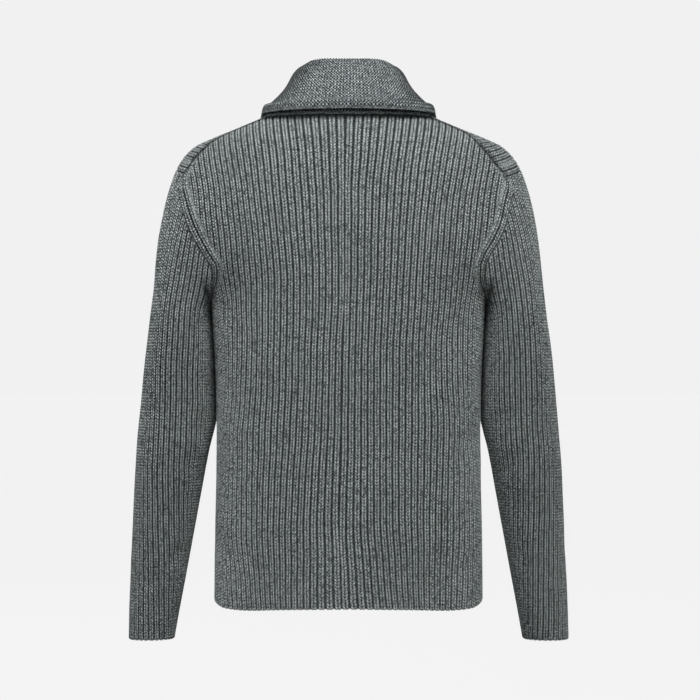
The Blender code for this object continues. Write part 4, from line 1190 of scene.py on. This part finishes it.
def build_collar():
    left, right = collar_halves
    middle = np.concatenate((left[0][:, :0:-1], right[0]), axis=1)
    normals = np.concatenate((left[1][:0:-1], right[1]))
    along = np.concatenate((left[2][:0:-1], right[2]))
    wall = unit(np.cross(np.gradient(middle, axis=0), np.gradient(middle, axis=1)))
    if np.sum(wall[0] * normals) < 0:
        wall = -wall
    for row in range(5):
        wall[row] = unit(blend(normals, wall[row], row / 5))
    row = np.arange(len(middle))[:, None]
    lower = blend(EDGE_DROP, EDGE_DROP_SIDE, between(along, 0, 120))
    lower = lower - EDGE_DROP_SIDE * between(along, 120, 270)
    hanging = between(row, 49, len(middle) - 1)
    middle = middle + (hanging * lower)[..., None] * unit(middle[-1] - middle[-6])
    slump = np.exp(-((row - FOLD_ROW) / 12) ** 2) * np.exp(-((along - 82) / 24) ** 2)
    middle[..., 2] -= SHOULDER_DROP * slump
    cushion = CUSHION * between(row, 0, 2.5) * between(row, 12, 5) * between(along, 170, 110)
    middle = middle + cushion[..., None] * wall
    for end, beyond in ((0, 1), (-1, -2)):
        middle[:, end] += 0.5 * SEAM_GAP * unit(middle[:, beyond] - middle[:, end])
        wall[:, end] = wall[0, end] * np.array([1, 1, 0.0])
    middle[0] += (0.5 * SEAM_GAP + 0.1) * unit(middle[1] - middle[0])

    from_edge = column_lengths(middle, from_last=True)
    rows = np.concatenate(([0, 0.45, 1.0], np.arange(MOSS_ALONG, from_edge.max() + MOSS_ALONG, MOSS_ALONG)))
    faces, turns, places = [], [], []
    for column in range(middle.shape[1]):
        length = from_edge[::-1, column]
        place = np.minimum(rows, length[-1])
        faces.append(read_line(place, length, middle[::-1, column]))
        turns.append(read_line(place, length, wall[::-1, column]))
        places.append(place)
    middle, wall = np.stack(faces, axis=1), unit(np.stack(turns, axis=1))
    place = np.stack(places, axis=1)
    to_seam = from_edge[0][None] - place

    half = 0.5 * COLLAR_WALL + EDGE_SWELL * between(place, 16, 9.5)
    round_over = (1 - (1 - np.clip(place / EDGE_ROUND, 0, 1)) ** 1.6) ** 0.85
    half = blend(half, 0.5 * BAND_WALL, between(along, 420, 490)[None])
    half = half * round_over + 0.2
    step = np.arange(len(rows))[:, None] + np.arange(middle.shape[1])[None]
    inside = between(place, 0.8, 2.0) * between(to_seam, 0, 2.5)
    bump = np.where(step % 2 == 0, 1.0, -1.0) * MOSS_RELIEF * inside
    uneven = 0.35 * sway(middle[..., 0] * 2, middle[..., 2] * 2 + along[None], 0.9)
    uneven *= between(to_seam, 0, 12) * between(along, COLLAR_LENGTH, COLLAR_LENGTH - 25)[None]
    face = middle + wall * (half + bump + uneven)[..., None]
    reverse = middle - wall * (half - bump - uneven)[..., None]
    u = np.broadcast_to(np.arange(middle.shape[1], dtype=float)[None], place.shape)
    v = np.broadcast_to(np.arange(len(rows), dtype=float)[:, None], place.shape)
    # painted shade along the neck seam
    shade = 0.3 * np.exp(-(to_seam / 1.3) ** 2)
    return shell("cardigan_collar", face, reverse, u, v, shade, inside)


pieces["collar"] = build_collar()

# %% [markdown]
# ## The button bands
# Each front edge has a narrow band of moss stitch, and the left one lies on the right one
# where the cardigan is fastened. The bands are worked like the collar and in the same stitch,
# and end at the hem with the body.

# %% The two bands
BAND_ROW = 1.75               # half of one stitch up the band
BAND_RELIEF = 0.36


def build_band(name):
    side = 1 if name.endswith("left") else -1
    at_seam, at_edge = BANDS[name]
    low = hem_height(form.front_length(HEM_Z))
    high = ARMPIT_Z - 0.5 * SEAM_GAP
    rise = high - low
    rows = np.concatenate(([0, 0.5, 1.1], np.linspace(1.8, rise, int(rise / BAND_ROW))))
    reach = BAND_WIDTH - 0.5 * SEAM_GAP
    columns = np.concatenate((np.linspace(0, reach - 2.0, 15), [reach - 1.2, reach - 0.5, reach]))
    x = 0.5 * BAND_WIDTH - 0.5 * SEAM_GAP - columns[None] + 0 * rows[:, None]
    z = low + rows[:, None] + 0 * columns[None]
    q = form.front_length(z) - x
    share = columns[None] / BAND_WIDTH
    middle = form.point(q, z) + form.normal(q, z) * blend(at_seam, at_edge, share)[..., None]
    middle = middle + np.array([0, 0.5 * BAND_WALL, 0])
    free = np.minimum(rows[:, None] + 0 * columns[None], reach - columns[None] + 0 * rows[:, None])
    half = 0.5 * BAND_WALL * np.sqrt(1 - (1 - np.clip(free / 2.4, 0, 1)) ** 2) * 0.92 + 0.16
    step = np.arange(len(rows))[:, None] + np.arange(len(columns))[None]
    inside = ease(free / 2.5) * ease(columns[None] / 2.5) * ease((high - z) / 2.5)
    bump = np.where(step % 2 == 0, 1.0, -1.0) * BAND_RELIEF * inside
    out = np.array([0, -1.0, 0])
    mirror = np.array([side, 1, 1])
    face = (middle + out * (half + bump)[..., None]) * mirror
    reverse = (middle - out * (half - bump)[..., None]) * mirror
    u = np.broadcast_to(np.arange(len(columns), dtype=float)[None], x.shape)
    v = np.broadcast_to(np.arange(len(rows), dtype=float)[:, None], x.shape)
    # painted shade along the band's seam to the front
    shade = np.exp(-(columns[None] / 1.3) ** 2) + 0 * z
    return shell("cardigan_" + name, face, reverse, u, v, shade, inside), face


for name in BANDS:
    pieces[name], band_face = build_band(name)
    if name == "band_left":
        left_face = band_face

# %% [markdown]
# ## The buttons
# The buttons are four-hole buttons turned from dark horn, with a raised rim and a dished
# middle. One is modelled in the order in which a lathe cuts it: a disc whose front is inset
# and pushed in, whose edges are rounded over and whose holes are drilled last. It is then
# copied down the band.

# %% One button
RIM_WIDTH = 2.1
DISH_SLOPE, DISH_DEPTH = 1.3, 1.1
BACK_BEVEL, BACK_RISE = 1.6, 0.9
EDGE_RADIUS = 0.45
HOLE_RADIUS = 0.95
HOLE_OFFSET = 1.9             # of each hole from the middle, across and up
UPRIGHT = (math.pi / 2, 0, 0)           # turns a disc or a ring to face the front


def only(piece):
    bpy.ops.object.select_all(action="DESELECT")
    piece.select_set(True)
    bpy.context.view_layer.objects.active = piece


def settle(piece):
    only(piece)
    bpy.ops.object.transform_apply(location=True, rotation=True, scale=True)


def select_faces(piece, test):
    build = bmesh.from_edit_mesh(piece.data)
    for part in (*build.faces, *build.edges, *build.verts):
        part.select = False
    build.select_flush(False)
    for face in build.faces:
        if test(face.normal):
            face.select = True
    bmesh.update_edit_mesh(piece.data)


bpy.ops.object.select_all(action="DESELECT")
bpy.ops.mesh.primitive_cylinder_add(vertices=48, radius=0.5 * BUTTON_DIAMETER * MM,
                                    depth=BUTTON_THICKNESS * MM, rotation=UPRIGHT)
button = bpy.context.active_object
button.name = "horn_button_1"
settle(button)
bpy.ops.object.mode_set(mode="EDIT")
bpy.ops.mesh.select_mode(type="FACE")
select_faces(button, lambda normal: normal.y < -0.9)
bpy.ops.mesh.inset(thickness=RIM_WIDTH * MM, depth=0)
bpy.ops.mesh.inset(thickness=DISH_SLOPE * MM, depth=-DISH_DEPTH * MM)
select_faces(button, lambda normal: normal.y > 0.9)
bpy.ops.mesh.inset(thickness=BACK_BEVEL * MM, depth=BACK_RISE * MM)
bpy.ops.object.mode_set(mode="OBJECT")
rounding = button.modifiers.new("rounding", "BEVEL")
rounding.width = EDGE_RADIUS * MM
rounding.segments = 3
rounding.limit_method = "ANGLE"
rounding.angle_limit = math.radians(25)
bpy.ops.object.modifier_apply(modifier="rounding")

for across, up in ((-1, -1), (1, -1), (-1, 1), (1, 1)):
    bpy.ops.object.select_all(action="DESELECT")
    place = (HOLE_OFFSET * MM * across, 0, HOLE_OFFSET * MM * up)
    bpy.ops.mesh.primitive_cylinder_add(vertices=16, radius=HOLE_RADIUS * MM, depth=0.012,
                                        location=place, rotation=UPRIGHT)
    drill = bpy.context.active_object
    only(button)
    hole = button.modifiers.new("hole", "BOOLEAN")
    hole.object = drill
    hole.operation = "DIFFERENCE"
    bpy.ops.object.modifier_apply(modifier="hole")
    bpy.data.objects.remove(drill, do_unlink=True)
only(button)
bpy.ops.object.shade_smooth_by_angle(angle=math.radians(32))
print("button:", len(button.data.polygons), "faces, across", round(button.dimensions.x * 1000, 1), "mm")

# %% [markdown]
# ## The thread
# Yarn crosses from hole to hole on each button. Each of the two strands is half of a thin
# ring that dips into two holes, and the second lies over the first.

# %% One thread
THREAD_RADIUS = 0.48
THREAD_REACH = 2.7            # from the middle of the button to the middle of a hole
SLIT_LENGTH = 15.2            # how far the binding's two ends are pulled apart
BINDING_RADIUS = 0.6
BINDING_WIDTH = 1.7           # radius of the ring that is pulled out


def half_ring(turn):
    bpy.ops.object.select_all(action="DESELECT")
    bpy.ops.mesh.primitive_torus_add(major_segments=20, minor_segments=8, rotation=(0, 0, 0),
                                     major_radius=THREAD_REACH * MM, minor_radius=THREAD_RADIUS * MM)
    thread = bpy.context.active_object
    bpy.ops.object.mode_set(mode="EDIT")
    bpy.ops.mesh.select_all(action="SELECT")
    bpy.ops.mesh.bisect(plane_co=(0, -0.0003, 0), plane_no=(0, -1, 0), clear_inner=True, use_fill=True)
    bpy.ops.mesh.select_all(action="SELECT")
    bpy.ops.transform.resize(value=(1, 0.5, 1), center_override=(0, 0, 0))
    bpy.ops.object.mode_set(mode="OBJECT")
    thread.rotation_euler = (0, turn, 0)
    settle(thread)
    return thread


crossed = [half_ring(math.pi / 4), half_ring(-math.pi / 4)]
for vertex in crossed[1].data.vertices:
    vertex.co.y -= 0.5 * MM
bpy.ops.object.select_all(action="DESELECT")
for thread in crossed:
    thread.select_set(True)
bpy.context.view_layer.objects.active = crossed[0]
bpy.ops.object.join()
thread = bpy.context.active_object
thread.name = "button_thread_1"
bpy.ops.object.shade_smooth()
print("thread:", len(thread.data.polygons), "faces")

# %% [markdown]
# ## The buttonhole
# A buttonhole in knitting is a slit whose edge is bound with stitches. The binding is a small
# ring of yarn, and its right half is pulled out to the length of the slit.

# %% One buttonhole
bpy.ops.object.select_all(action="DESELECT")
bpy.ops.mesh.primitive_torus_add(major_segments=24, minor_segments=8, rotation=UPRIGHT,
                                 major_radius=BINDING_WIDTH * MM, minor_radius=BINDING_RADIUS * MM)
binding = bpy.context.active_object
binding.name = "buttonhole_1"
settle(binding)
bpy.ops.object.mode_set(mode="EDIT")
bpy.ops.mesh.select_mode(type="VERT")
build = bmesh.from_edit_mesh(binding.data)
for vertex in build.verts:
    vertex.select = vertex.co.x > 0.05 * MM
build.select_flush_mode()
bmesh.update_edit_mesh(binding.data)
bpy.ops.transform.translate(value=(SLIT_LENGTH * MM, 0, 0))
bpy.ops.object.mode_set(mode="OBJECT")
bpy.ops.object.shade_smooth()
print("buttonhole:", len(binding.data.polygons), "faces")

# %% [markdown]
# ## Five of each, down the left band
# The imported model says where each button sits. Each copy gets its own mesh, and its place is
# moved into that mesh, so that every object stays at the origin.

# %% Copy the buttons to their places
THREAD_LIFT = 0.7             # the thread lies this far before the middle of the button
SLIT_SINK = 0.3               # and the binding's middle is this far inside the cloth's face
SLIT_START = -1.5             # its inner end, from the button's middle
BUTTON_COLUMN = 8             # the column of the band's face that lies under the buttons


def copy_to(piece, name, place):
    made = piece.copy()
    made.data = piece.data.copy()
    made.name = name
    bpy.context.collection.objects.link(made)
    for vertex in made.data.vertices:
        vertex.co += Vector(place)
    return made


trimmings = {}
for number in range(1, BUTTON_COUNT + 1):
    low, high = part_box("button_%d" % number)
    middle = (Vector(low) + Vector(high)) / 2
    row = np.argmin(np.abs(left_face[:, BUTTON_COLUMN, 2] * MM - middle.z))
    cloth_y = float(left_face[row, BUTTON_COLUMN, 1]) * MM
    thread_place = (0, middle.y - THREAD_LIFT * MM, middle.z)
    slit_place = (SLIT_START * MM, cloth_y + SLIT_SINK * MM, middle.z)
    trimmings[number] = (
        copy_to(button, "horn_button_%d_" % number, middle),
        copy_to(thread, "button_thread_%d_" % number, thread_place),
        copy_to(binding, "buttonhole_%d_" % number, slit_place),
    )
for first in (button, thread, binding):
    bpy.data.objects.remove(first, do_unlink=True)
for number, parts in trimmings.items():
    for part, name in zip(parts, ("horn_button_%d", "button_thread_%d", "buttonhole_%d")):
        part.name = name % number
print("placed", len(trimmings), "buttons with thread and buttonholes")

# %% [markdown]
# ## Yarn
# The cloth is a heathered woollen yarn: dark and light fibres are spun together, so close up
# it is a salt and pepper grey with a faint cool tint. Wool has no gloss, but its loose fibres
# catch light at grazing angles, which the shader's sheen gives. One function turns the
# colours, written as hex, to the linear values that the shader needs, and one adds a node.

# %% Colours and nodes
def linear(text):
    values = [int(text[i:i + 2], 16) / 255 for i in (1, 3, 5)]
    return tuple(v / 12.92 if v <= 0.04045 else ((v + 0.055) / 1.055) ** 2.4 for v in values) + (1.0,)


def add(tree, kind, inputs, output=0, stops=(), **settings):
    """Adds a node with its settings and links, and gives back one of its outputs.

    inputs are values or sockets, by input name or in order; stops are a ramp's colours.
    """
    node = tree.nodes.new(kind)
    for name, value in settings.items():
        setattr(node, name, value)
    for name, value in (inputs if isinstance(inputs, dict) else dict(enumerate(inputs))).items():
        if isinstance(value, bpy.types.NodeSocket):
            tree.links.new(value, node.inputs[name])
        else:
            node.inputs[name].default_value = value
    for _ in stops[2:]:
        node.color_ramp.elements.new(0.5)
    for element, (place, colour) in zip(node.color_ramp.elements if stops else (), stops):
        element.position = place
        element.color = linear(colour)
    return node.outputs[output] if node.outputs else None


def empty_material(name):
    made = bpy.data.materials.new(name)
    made.use_nodes = True
    made.node_tree.nodes.clear()
    return made, made.node_tree


print("mid grey yarn, linear:", [round(v, 3) for v in linear("#6e7474")[:3]])

# %% [markdown]
# ## Stitches in the knit's own map
# The stitches are drawn in the knit's own map. In the rib, U counts ribs and V counts rows of
# stitches: every leg of yarn leans up and away from the rib's middle, which makes a column of
# small Vs. The rows are 4.1 mm high, because at their real 3.3 mm they are too fine to show
# when the whole garment is in view. In the moss stitch the map counts half stitches, and the
# bumps of yarn lie in a lattice of 4.4 by 4.5 mm.

# %% Stitch patterns
LEAN = 1.16                   # rows that a leg climbs from the rib's middle to the furrow
MOSS_UNEVEN = 0.35            # how far every second row of bumps differs from the next


def rib_stitch(tree, u, v):
    """Height of the V stitches, and the painted shade in the furrows, the groove and the gaps between
    stitches.
    """
    near = add(tree, "ShaderNodeMath", (u, 0.5), operation="PINGPONG")
    away = add(tree, "ShaderNodeMath", (near, -2.0, 1.0), operation="MULTIPLY_ADD")
    slant = add(tree, "ShaderNodeMath", (away, -LEAN, v), operation="MULTIPLY_ADD")
    turns = add(tree, "ShaderNodeMath", (slant, 2 * math.pi), operation="MULTIPLY")
    wave = add(tree, "ShaderNodeMath", (turns,), operation="SINE")
    high = add(tree, "ShaderNodeMath", (wave, 0.5, 0.5), operation="MULTIPLY_ADD")
    low = add(tree, "ShaderNodeMapRange", (high, 0.7, 0.15), interpolation_type="SMOOTHSTEP")
    furrow = add(tree, "ShaderNodeMapRange", (away, 0.55, 0.76), interpolation_type="SMOOTHSTEP")
    groove = add(tree, "ShaderNodeMapRange", (away, 0.28, 0.1), interpolation_type="SMOOTHSTEP")
    in_groove = add(tree, "ShaderNodeMath", (low, 0.25, 0.72), operation="MULTIPLY_ADD")
    in_furrow = add(tree, "ShaderNodeMath", (low, 0.15, 0.85), operation="MULTIPLY_ADD")
    groove = add(tree, "ShaderNodeMath", (groove, in_groove), operation="MULTIPLY")
    furrow = add(tree, "ShaderNodeMath", (furrow, in_furrow), operation="MULTIPLY")
    gap = add(tree, "ShaderNodeMath", (low, 0.85), operation="MULTIPLY")
    lines = add(tree, "ShaderNodeMath", (furrow, groove), operation="MAXIMUM")
    return high, add(tree, "ShaderNodeMath", (lines, gap), operation="MAXIMUM")


def moss_lattice(tree, u, v):
    """Height of the bumps, at the points where the grid stands proud, and the painted shade between them."""
    waves = []
    for counted in (u, v):
        turns = add(tree, "ShaderNodeMath", (counted, math.pi), operation="MULTIPLY")
        waves.append(add(tree, "ShaderNodeMath", (turns,), operation="COSINE"))
    rows = add(tree, "ShaderNodeMath", (waves[1], MOSS_UNEVEN), operation="ADD")
    both = add(tree, "ShaderNodeMath", (waves[0], rows), operation="MULTIPLY")
    high = add(tree, "ShaderNodeMath", (both, 0.5, 0.5), operation="MULTIPLY_ADD")
    return high, add(tree, "ShaderNodeMapRange", (high, 0.95, 0.2), interpolation_type="SMOOTHSTEP")


print("stitches lean", LEAN, "rows over", round(0.5 * SLEEVE_PITCH, 1), "mm")

# %% [markdown]
# ## Wool in two stitches
# The yarn is spun from dark and light fibres. They are about 0.02 mm thick, far too fine to
# show, so the heather is drawn as flecks of about 2.3 mm, the length of fibre that shows on
# the yarn between two stitches. The furrows, the gaps between stitches, the seams and the
# crevice under the arm get painted shade: the colour is mixed towards a near black there, where
# light hardly reaches. Where the ribs lie flatter, an even painted shade stands in for it.

# %% Wool materials
FLECK, STRAND, CLOUD = 440.0, 210.0, 9.0        # noise scales: 2.3, 4.8 and 110 mm


def wool(name, stitch_of, dark, middle, light, shadow):
    made, tree = empty_material(name)
    knit = add(tree, "ShaderNodeUVMap", (), uv_map="knit")
    u = add(tree, "ShaderNodeSeparateXYZ", (knit,))
    full = add(tree, "ShaderNodeAttribute", (), "Fac", attribute_name="fullness")
    shade = add(tree, "ShaderNodeAttribute", (), "Fac", attribute_name="shade")
    place = add(tree, "ShaderNodeTexCoord", (), "Object")
    stitch, gap = stitch_of(tree, u, u.node.outputs["Y"])

    noise = {"Vector": place, "Scale": FLECK, "Detail": 2.0, "Roughness": 0.7}
    fleck = add(tree, "ShaderNodeTexNoise", noise, "Fac")
    strand = add(tree, "ShaderNodeTexNoise", {"Vector": place, "Scale": STRAND, "Detail": 2.0}, "Fac")
    cloud = add(tree, "ShaderNodeTexNoise", {"Vector": place, "Scale": CLOUD, "Detail": 3.0}, "Fac")
    strand = add(tree, "ShaderNodeMath", (strand, 0.15), operation="MULTIPLY")
    heather = add(tree, "ShaderNodeMath", (fleck, 0.85, strand), operation="MULTIPLY_ADD")
    yarn = add(tree, "ShaderNodeValToRGB", (heather,), stops=((0.41, dark), (0.5, middle), (0.59, light)))
    wide = add(tree, "ShaderNodeValToRGB", (cloud,), stops=((0.3, "#e2e3e3"), (0.7, "#ffffff")))
    yarn = add(tree, "ShaderNodeMix", {"Factor": 0.5, 6: yarn, 7: wide}, 2,
               data_type="RGBA", blend_type="MULTIPLY")

    # painted shade: the colour is mixed towards the shadow colour in furrows and stitch gaps, evenly where
    # ribs are flatter, and by the shade attribute at seams and in the crevice
    gap = add(tree, "ShaderNodeMath", (gap, full), operation="MULTIPLY")
    flat = add(tree, "ShaderNodeMath", (full, -0.42, 0.42), operation="MULTIPLY_ADD")
    gap = add(tree, "ShaderNodeMath", (gap, flat), operation="ADD")
    seam = add(tree, "ShaderNodeMath", (shade, 0.97), operation="MULTIPLY")
    depth = add(tree, "ShaderNodeMath", (gap, seam), operation="MAXIMUM")
    colour = add(tree, "ShaderNodeMix", {"Factor": depth, 6: yarn, 7: linear(shadow)}, 2,
                 data_type="RGBA", blend_type="MULTIPLY")

    fuzz = add(tree, "ShaderNodeMath", (fleck, 0.35), operation="MULTIPLY")
    height = add(tree, "ShaderNodeMath", (stitch, full, fuzz), operation="MULTIPLY_ADD")
    bump = add(tree, "ShaderNodeBump", {"Strength": 0.9, "Distance": 0.7 * MM, "Height": height})
    rough = add(tree, "ShaderNodeMath", (fleck, 0.15, 0.82), operation="MULTIPLY_ADD")
    shader = add(tree, "ShaderNodeBsdfPrincipled", {
        "Base Color": colour, "Roughness": rough, "Normal": bump, "Metallic": 0.0,
        "Specular IOR Level": 0.12, "Sheen Weight": 0.09, "Sheen Roughness": 0.4,
        "Sheen Tint": linear("#c9cccc")})
    add(tree, "ShaderNodeOutputMaterial", {"Surface": shader})
    return made


# the last colour of each wool is the near black of its painted shade
rib_wool = wool("heathered wool in chunky rib", rib_stitch,
                "#6e7676", "#c8d1d0", "#f4fdfc", "#141618")
moss_wool = wool("heathered wool in moss stitch", moss_lattice,
                 "#60686a", "#a8b0b1", "#e0e9e9", "#1c2022")
print("made", rib_wool.name, "and", moss_wool.name)

# %% [markdown]
# ## Horn and sewing yarn
# Horn is a natural keratin with an index of refraction of about 1.56. Polished by tumbling,
# it has a satin gloss, and streaks of brown run through the near black. The sewing yarn is the
# same wool as the cloth, twisted tight, so a fine diagonal ridge runs along it.

# %% Horn and thread materials
def horn_material():
    made, tree = empty_material("polished dark horn")
    place = add(tree, "ShaderNodeTexCoord", (), "Object")
    streak = add(tree, "ShaderNodeMapping", {"Vector": place, "Scale": (90.0, 300.0, 420.0),
                                             "Rotation": (0.0, 0.6, 0.0)})
    grain = add(tree, "ShaderNodeTexNoise", {"Vector": streak, "Scale": 1.0, "Detail": 4.0}, "Fac")
    colour = add(tree, "ShaderNodeValToRGB", (grain,),
                 stops=((0.35, "#1b1815"), (0.55, "#2c2620"), (0.75, "#5a4a3a")))
    scratch = add(tree, "ShaderNodeTexNoise", {"Vector": place, "Scale": 2500.0, "Detail": 2.0}, "Fac")
    bump = add(tree, "ShaderNodeBump", {"Strength": 0.15, "Distance": 0.1 * MM, "Height": scratch})
    rough = add(tree, "ShaderNodeMath", (grain, 0.2, 0.22), operation="MULTIPLY_ADD")
    shader = add(tree, "ShaderNodeBsdfPrincipled", {
        "Base Color": colour, "Roughness": rough, "Normal": bump, "IOR": 1.56})
    add(tree, "ShaderNodeOutputMaterial", {"Surface": shader})
    return made


def yarn_material():
    made, tree = empty_material("twisted wool sewing yarn")
    place = add(tree, "ShaderNodeTexCoord", (), "Object")
    twist = add(tree, "ShaderNodeTexWave", {"Vector": place, "Scale": 320.0, "Distortion": 1.5}, "Fac",
                bands_direction="DIAGONAL")
    fleck = add(tree, "ShaderNodeTexNoise", {"Vector": place, "Scale": 900.0}, "Fac")
    colour = add(tree, "ShaderNodeValToRGB", (fleck,), stops=((0.35, "#3c4041"), (0.65, "#6d7373")))
    bump = add(tree, "ShaderNodeBump", {"Strength": 0.6, "Distance": 0.3 * MM, "Height": twist})
    shader = add(tree, "ShaderNodeBsdfPrincipled", {
        "Base Color": colour, "Roughness": 0.88, "Normal": bump,
        "Sheen Weight": 0.25, "Sheen Roughness": 0.5})
    add(tree, "ShaderNodeOutputMaterial", {"Surface": shader})
    return made


horn, sewing_yarn = horn_material(), yarn_material()
print("made", horn.name, "and", sewing_yarn.name)

# %% [markdown]
# ## Materials and places of the pieces
# Every piece rides on the one body, takes the place of its imported solid, and gets its
# material.

# %% Pieces and slots
for name, piece in pieces.items():
    moss = name == "collar" or name.startswith("band")
    piece.data.materials.append(moss_wool if moss else rib_wool)
    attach(piece, "root")
    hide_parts(name)
for number, (round_one, thread, binding) in trimmings.items():
    round_one.data.materials.append(horn)
    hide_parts("button_%d" % number)
    for part in (thread, binding):
        part.data.materials.append(sewing_yarn)
    for part in (round_one, thread, binding):
        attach(part, "root")
print("declared", len(pieces), "pieces of cloth and", 3 * len(trimmings), "trimmings")

# %% [markdown]
# ## The floor
# The garment is shown as if somebody wore it, so it hangs clear of a plain floor. The floor
# is pale to the camera by its own glow, and dark to the cloth, so that it sends no light up.

# %% The floor
FLOOR_Z = -1.02               # metres, as all sizes of the studio are
FLOOR_REACH = 30.0
floor_mesh = bpy.data.meshes.new("floor")
floor_corners = [(FLOOR_REACH * x, FLOOR_REACH * y, FLOOR_Z)
                 for x, y in ((-1, -1), (1, -1), (1, 1), (-1, 1))]
floor_mesh.from_pydata(floor_corners, [], [(0, 1, 2, 3)])
floor = bpy.data.objects.new("studio_floor", floor_mesh)
bpy.context.collection.objects.link(floor)
floor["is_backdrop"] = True
pale = bpy.data.materials.new("matt pale studio floor")
pale.use_nodes = True
shader = pale.node_tree.nodes["Principled BSDF"]
shader.inputs["Base Color"].default_value = linear("#1e1e1e")
shader.inputs["Roughness"].default_value = 0.9
shader.inputs["Specular IOR Level"].default_value = 0.1
shader.inputs["Emission Color"].default_value = linear("#f4f4f4")
floor_mesh.materials.append(pale)
tree = pale.node_tree
seen = add(tree, "ShaderNodeLightPath", (), "Is Camera Ray")
glow = add(tree, "ShaderNodeMath", (seen, 0.96), operation="MULTIPLY")
tree.links.new(glow, shader.inputs["Emission Strength"])
print("floor", FLOOR_Z, "m below the shoulders")

# %% [markdown]
# ## The light
# The light is soft and comes mostly from above the camera, behind the wearer's back, with
# weaker lights beside and below it and one on the front, so that no view is dark. The world
# is pale where the camera sees it, and lights the cloth less than that.

# %% The light
world = bpy.data.worlds.new("studio")
bpy.context.scene.world = world
world.use_nodes = True
tree = world.node_tree
tree.nodes.clear()
seen = add(tree, "ShaderNodeLightPath", (), "Is Camera Ray")
dim = add(tree, "ShaderNodeBackground", {"Color": linear("#f2f3f4"), "Strength": 0.37})
bright = add(tree, "ShaderNodeBackground", {"Color": linear("#f1f1f1"), "Strength": 1.0})
both = add(tree, "ShaderNodeMixShader", (seen, dim, bright))
add(tree, "ShaderNodeOutputWorld", {"Surface": both})


def soft_light(name, place, towards, size, power):
    lamp = bpy.data.lights.new(name, "AREA")
    lamp.shape = "DISK"
    lamp.size = size
    lamp.energy = power
    made = bpy.data.objects.new(name, lamp)
    made.location = place
    made.rotation_euler = (Vector(towards) - Vector(place)).to_track_quat("-Z", "Y").to_euler()
    bpy.context.collection.objects.link(made)


LIGHTS = {
    # name: place, what it points at, width, watts
    "key": ((-0.35, 1.75, 1.75), (0, 0, -0.2), 1.4, 50),
    "low_fill": ((0.2, 3.0, 0.3), (0, 0, -0.2), 1.2, 16),
    "side_fill": ((2.4, 1.2, 0.6), (0, 0, -0.4), 1.6, 10),
    "front_fill": ((0.8, -2.8, 1.4), (0, 0, -0.3), 2.0, 60),
}
for name, lamp in LIGHTS.items():
    soft_light(name, *lamp)
print("lit by", ", ".join(LIGHTS))

# %% [markdown]
# ## The camera
# The camera looks straight at the back from three metres, level with the middle of the
# garment, through a long lens that keeps the shoulders and the hem in proportion.

# %% The camera
CAMERA_PLACE = (-0.0021, 3.0, -0.3248)
LENS = 110.2
bpy.context.scene.view_settings.view_transform = "Standard"
camera_data = bpy.data.cameras.new("camera")
camera_data.lens = LENS
camera_data.sensor_width = 36
camera = bpy.data.objects.new("camera", camera_data)
camera.location = CAMERA_PLACE
camera.rotation_euler = (math.pi / 2, 0, math.pi)
bpy.context.collection.objects.link(camera)
bpy.context.scene.camera = camera
print("camera", round(camera.location.y, 2), "m behind the garment")

# %% [markdown]
# ## The visual box
# The finished garment should fill the imported model's box and no more than a little beyond it.
# Its own box is printed.

# %% The visual box
low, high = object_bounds()
print("visual box:", [round(v, 4) for v in high - low])
